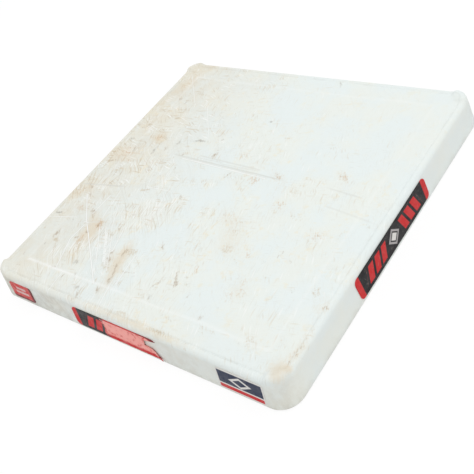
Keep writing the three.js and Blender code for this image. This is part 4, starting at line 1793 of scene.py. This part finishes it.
@dataclass
class FoamCore:
    """The foam block that fills the cover, with a stepped pocket over the flange and its nuts."""

    pocket_corner: float = 8.0
    ledge: float = 14.9
    lower_inset: float = 20.0
    flange_pocket: float = 51.5
    flange_level: float = 10.6
    nut_pocket: float = 44.0
    nut_level: float = 23.0
    edge_radius: float = 1.5
    corner_steps: int = 8
    side_steps: int = 24
    piece: bpy.types.Object = field(init=False)

    def square(self, half: float, level: float, corner: float) -> Array:
        """Draw one rounded square ring at a level, counter-clockwise.

        Each quarter is a straight side followed by a quarter circle, turned into its place.

        Args:
            half: Half of the ring's width.
            level: Height of the ring.
            corner: Corner radius.

        Returns:
            Rows of three coordinates.
        """
        centre = half - corner
        side = np.linspace(-centre, centre, self.side_steps, endpoint=False)
        angle = np.linspace(-math.pi / 2.0, 0.0, self.corner_steps, endpoint=False)
        x = np.concatenate([side, centre + corner * np.cos(angle)])
        y = np.concatenate([np.full(self.side_steps, -half), -centre + corner * np.sin(angle)])
        quarters = [(x, y), (-y, x), (-x, -y), (y, -x)]
        flat = np.concatenate([np.column_stack(pair) for pair in quarters])
        return np.column_stack([flat, np.full(len(flat), level)])

    def build(self) -> None:
        """Carry the block's profile round a rounded square, from the top's middle down to the pocket's."""
        low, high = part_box("foam_core")
        half, bottom, top = high.x / MM, low.z / MM, high.z / MM
        lower, soft = half - self.lower_inset, self.edge_radius
        turns = np.linspace(0.0, math.pi / 2.0, 4)
        profile = [(half / 2.0, top)]
        profile += [(half - soft + soft * math.sin(t), top - soft + soft * math.cos(t)) for t in turns]
        profile += [(half, self.ledge), (lower, self.ledge), (lower, bottom)]
        profile += [(self.flange_pocket, bottom), (self.flange_pocket, self.flange_level)]
        profile += [(self.nut_pocket, self.flange_level), (self.nut_pocket, self.nut_level)]
        profile += [(self.nut_pocket / 2.0, self.nut_level)]
        rings = [self.square(ring_half, level, self.pocket_corner) for ring_half, level in profile]
        count = len(rings[0])
        points = np.concatenate([[[0.0, 0.0, top]], *rings, [[0.0, 0.0, self.nut_level]]])
        numbers = [1 + index * count + np.arange(count) for index in range(len(rings))]
        faces = [np.stack([np.zeros(count, int), numbers[0], np.roll(numbers[0], -1)], axis=1)]
        faces += [ring_quads(upper, lower_ring) for upper, lower_ring in zip(numbers, numbers[1:])]
        last = np.full(count, len(points) - 1)
        faces.append(np.stack([numbers[-1], last, np.roll(numbers[-1], -1)], axis=1))
        self.piece = make_piece("foam_block", points, faces)

    def dress(self, finish: FoamFinish) -> None:
        stand_in(self.piece, finish.material(), "foam_core")


@dataclass(frozen=True)
class MetalFinish:
    """Steel whose colour and gloss change from patch to patch, with rust and dirt in places."""

    name: str
    bright: Colour
    dull: Colour
    patch_scale: float
    smooth: float
    rough: float
    rust_share: float = 0.0
    crystals: bool = False
    rust: Colour = srgb(122, 78, 48)

    def material(self) -> bpy.types.Material:
        """Mix bright and dull patches, by crystals or by brushed noise, and lay rust over them.

        Returns:
            The material.
        """
        graph = NodeGraph(self.name)
        place = graph.place()
        if self.crystals:
            patch = graph.axes(graph.cells(place, self.patch_scale).outputs["Color"])[0]
        else:
            patch = graph.ease(graph.noise(place, self.patch_scale, 5.0, 0.65), 0.25, 0.75)
        colour = graph.blend(patch, self.bright, self.dull)
        fine = graph.noise(place, 900.0, 3.0, 0.6)
        shade = graph.ease(graph.noise(place, 45.0, 4.0, 0.6), 0.52, 0.75, 0.0, self.rust_share)
        colour = graph.blend(graph.math("MULTIPLY", shade, graph.ease(fine, 0.3, 0.6)), colour, self.rust)
        mixed = graph.math("MULTIPLY_ADD", patch, self.rough - self.smooth, self.smooth)
        rough = graph.math("MULTIPLY_ADD", shade, 0.4, mixed)
        normal = graph.bump(fine, 0.06, 0.6)
        return graph.finish(Base_Color=colour, Metallic=1.0, Roughness=rough, Normal=normal)


@dataclass(frozen=True)
class PlasticFinish:
    """Moulded black plastic with a fine grain."""

    black: Colour = srgb(30, 31, 33)
    scuffed: Colour = srgb(74, 72, 70)

    def material(self) -> bpy.types.Material:
        """Scuff the plastic and grain it.

        Returns:
            The material.
        """
        graph = NodeGraph("black_plastic")
        place = graph.place()
        scuff = graph.ease(graph.noise(place, 220.0, 5.0, 0.7), 0.55, 0.8)
        colour = graph.blend(graph.math("MULTIPLY", scuff, 0.6), self.black, self.scuffed)
        rough = graph.ease(scuff, 0.0, 1.0, 0.42, 0.7)
        normal = graph.bump(graph.noise(place, 1500.0, 2.0), 0.08, 0.6)
        return graph.finish(Base_Color=colour, Roughness=rough, Normal=normal)


@dataclass
class SteelWork:
    """The plate, bars, stanchion and fasteners, which keep their solids' shapes."""

    galvanised: MetalFinish = MetalFinish(
        "galvanised_steel", srgb(176, 181, 184), srgb(138, 144, 148), 120.0, 0.34, 0.5, 0.25, True
    )
    plain: MetalFinish = MetalFinish(
        "plain_steel", srgb(146, 150, 153), srgb(112, 114, 116), 90.0, 0.4, 0.55, 0.5
    )
    zinc: MetalFinish = MetalFinish(
        "zinc_plate", srgb(206, 204, 194), srgb(178, 174, 158), 300.0, 0.25, 0.42, 0.12
    )
    plastic: PlasticFinish = PlasticFinish()

    def dress(self) -> None:
        """Give each steel or plastic solid its finish, by the slot that the record names for it."""
        galvanised = self.galvanised.material()
        plain = self.plain.material()
        finishes = {
            "plate_steel": galvanised,
            "tube_steel": galvanised,
            "bar_steel": plain,
            "flange_steel": plain,
            "fastener_zinc": self.zinc.material(),
            "plug_plastic": self.plastic.material(),
        }
        for subpart in frame["record"]["subparts"]:
            node, slot = subpart["node"], subpart["material_slot"]
            if slot in finishes:
                mesh = frame["nodes"][node].data
                mesh.materials.clear()
                mesh.materials.append(finishes[slot])
                log.info("%s: %s", node, finishes[slot].name)


@dataclass
class Studio:
    """The camera, the pale floor at ground level and the soft light."""

    camera_place: tuple[float, float, float] = (465.4, -379.9, 496.5)
    camera_target: tuple[float, float, float] = (56.5, -59.9, 33.0)
    camera_roll: float = -24.74
    lens: float = 55.98
    sensor_width: float = 36.0
    floor_paper: Colour = srgb(246, 246, 246)
    floor_half: float = 6000.0
    floor_gap: float = 0.3
    floor_white: float = 0.86
    floor_glow: float = 1.03
    sky: float = 0.68
    lamp_place: tuple[float, float, float] = (430.0, 200.0, 2400.0)
    lamp_size: float = 2600.0
    lamp_watts: float = 26.0

    def build_camera(self) -> None:
        """Stand the camera where the photograph was taken, rolled as it was."""
        data = bpy.data.cameras.new("camera")
        data.lens = self.lens
        data.sensor_width = self.sensor_width
        camera = bpy.data.objects.new("camera", data)
        bpy.context.scene.collection.objects.link(camera)
        place, target = Vector(self.camera_place) * MM, Vector(self.camera_target) * MM
        roll = Quaternion((0.0, 0.0, 1.0), math.radians(self.camera_roll))
        camera.rotation_mode = "QUATERNION"
        camera.rotation_quaternion = (target - place).to_track_quat("-Z", "Y") @ roll
        camera.location = place
        bpy.context.scene.camera = camera

    def seen_directly(self, tree: bpy.types.NodeTree) -> Socket:
        """Give 1 for rays from the camera, a mirror or a glass, and 0 for other light.

        Args:
            tree: Node tree to work in.

        Returns:
            The share's socket.
        """
        path = tree.nodes.new("ShaderNodeLightPath")
        share = path.outputs["Is Camera Ray"]
        for name in ("Is Glossy Ray", "Is Transmission Ray"):
            either = tree.nodes.new("ShaderNodeMath")
            either.operation = "MAXIMUM"
            tree.links.new(share, either.inputs[0])
            tree.links.new(path.outputs[name], either.inputs[1])
            share = either.outputs[0]
        return share

    def build_floor(self) -> None:
        """Lay the floor: white paper that partly glows for the camera, so that only soft shadow shows."""
        ways = np.array([[-1.0, -1.0], [1.0, -1.0], [1.0, 1.0], [-1.0, 1.0]])
        corners = np.column_stack([ways * self.floor_half, np.full(len(ways), -self.floor_gap)])
        floor = make_piece("floor", corners, [np.arange(len(ways))[None, :]])
        graph = NodeGraph("floor_paper")
        tree = graph.tree
        graph.finish(Base_Color=self.floor_paper, Roughness=0.9, Specular_IOR_Level=0.0)
        glow = graph.add("ShaderNodeEmission")
        glow.inputs["Strength"].default_value = self.floor_glow
        mix = graph.add("ShaderNodeMixShader")
        share = graph.math("MULTIPLY", self.seen_directly(tree), self.floor_white)
        graph.feed(mix.inputs[0], share)
        graph.feed(mix.inputs[1], graph.shader.outputs[0])
        graph.feed(mix.inputs[2], glow.outputs[0])
        graph.feed(tree.nodes["Material Output"].inputs["Surface"], mix.outputs[0])
        floor.data.materials.append(graph.material)

    def build_light(self) -> None:
        """Light the scene from a white sky and one large lamp overhead, a little to the back right."""
        world = bpy.data.worlds.new("sky")
        bpy.context.scene.world = world
        world.use_nodes = True
        tree = world.node_tree
        soft = tree.nodes["Background"]
        soft.inputs["Color"].default_value = (1.0, 1.0, 1.0, 1.0)
        soft.inputs["Strength"].default_value = self.sky
        white = tree.nodes.new("ShaderNodeBackground")
        white.inputs["Color"].default_value = (1.0, 1.0, 1.0, 1.0)
        mix = tree.nodes.new("ShaderNodeMixShader")
        tree.links.new(self.seen_directly(tree), mix.inputs[0])
        tree.links.new(soft.outputs[0], mix.inputs[1])
        tree.links.new(white.outputs[0], mix.inputs[2])
        tree.links.new(mix.outputs[0], tree.nodes["World Output"].inputs["Surface"])
        data = bpy.data.lights.new("lamp", "AREA")
        data.shape = "SQUARE"
        data.size = self.lamp_size * MM
        data.energy = self.lamp_watts
        lamp = bpy.data.objects.new("lamp", data)
        bpy.context.scene.collection.objects.link(lamp)
        lamp.location = Vector(self.lamp_place) * MM
        lamp.rotation_mode = "QUATERNION"
        lamp.rotation_quaternion = (-lamp.location).to_track_quat("-Z", "Y")

    def build(self) -> None:
        """Set up camera, floor and light, and show colours as they are written."""
        self.build_camera()
        self.build_floor()
        self.build_light()
        bpy.context.scene.view_settings.view_transform = "Standard"
        log.info("studio: camera, floor and lamp")


LABELS: tuple[WallLabel, ...] = (
    WallLabel("front_corner_label", "corner_label_vinyl", Wall.FRONT, Print.CORNER, 35.0, 20.0),
    WallLabel("front_strip_label", "front_strip_vinyl", Wall.FRONT, Print.WORN_STRIP, 135.0, 23.0, 5.0),
    WallLabel("front_badge_label", "badge_vinyl", Wall.FRONT, Print.BADGE, 49.0, 24.0),
    WallLabel("side_strip_label", "side_strip_vinyl", Wall.RIGHT, Print.STRIP, 135.0, 23.0, 5.0),
)


def main() -> None:
    """Build the studio and the base, piece by piece."""
    logging.basicConfig(level=logging.INFO, format="%(name)s: %(message)s")
    Studio().build()
    cover = RubberCover()
    cover.build()
    cover.dress(RubberFinish())
    for label in LABELS:
        label.build(cover)
        label.dress()
    core = FoamCore()
    core.build()
    core.dress(FoamFinish())
    SteelWork().dress()


if __name__ == "__main__":
    main()
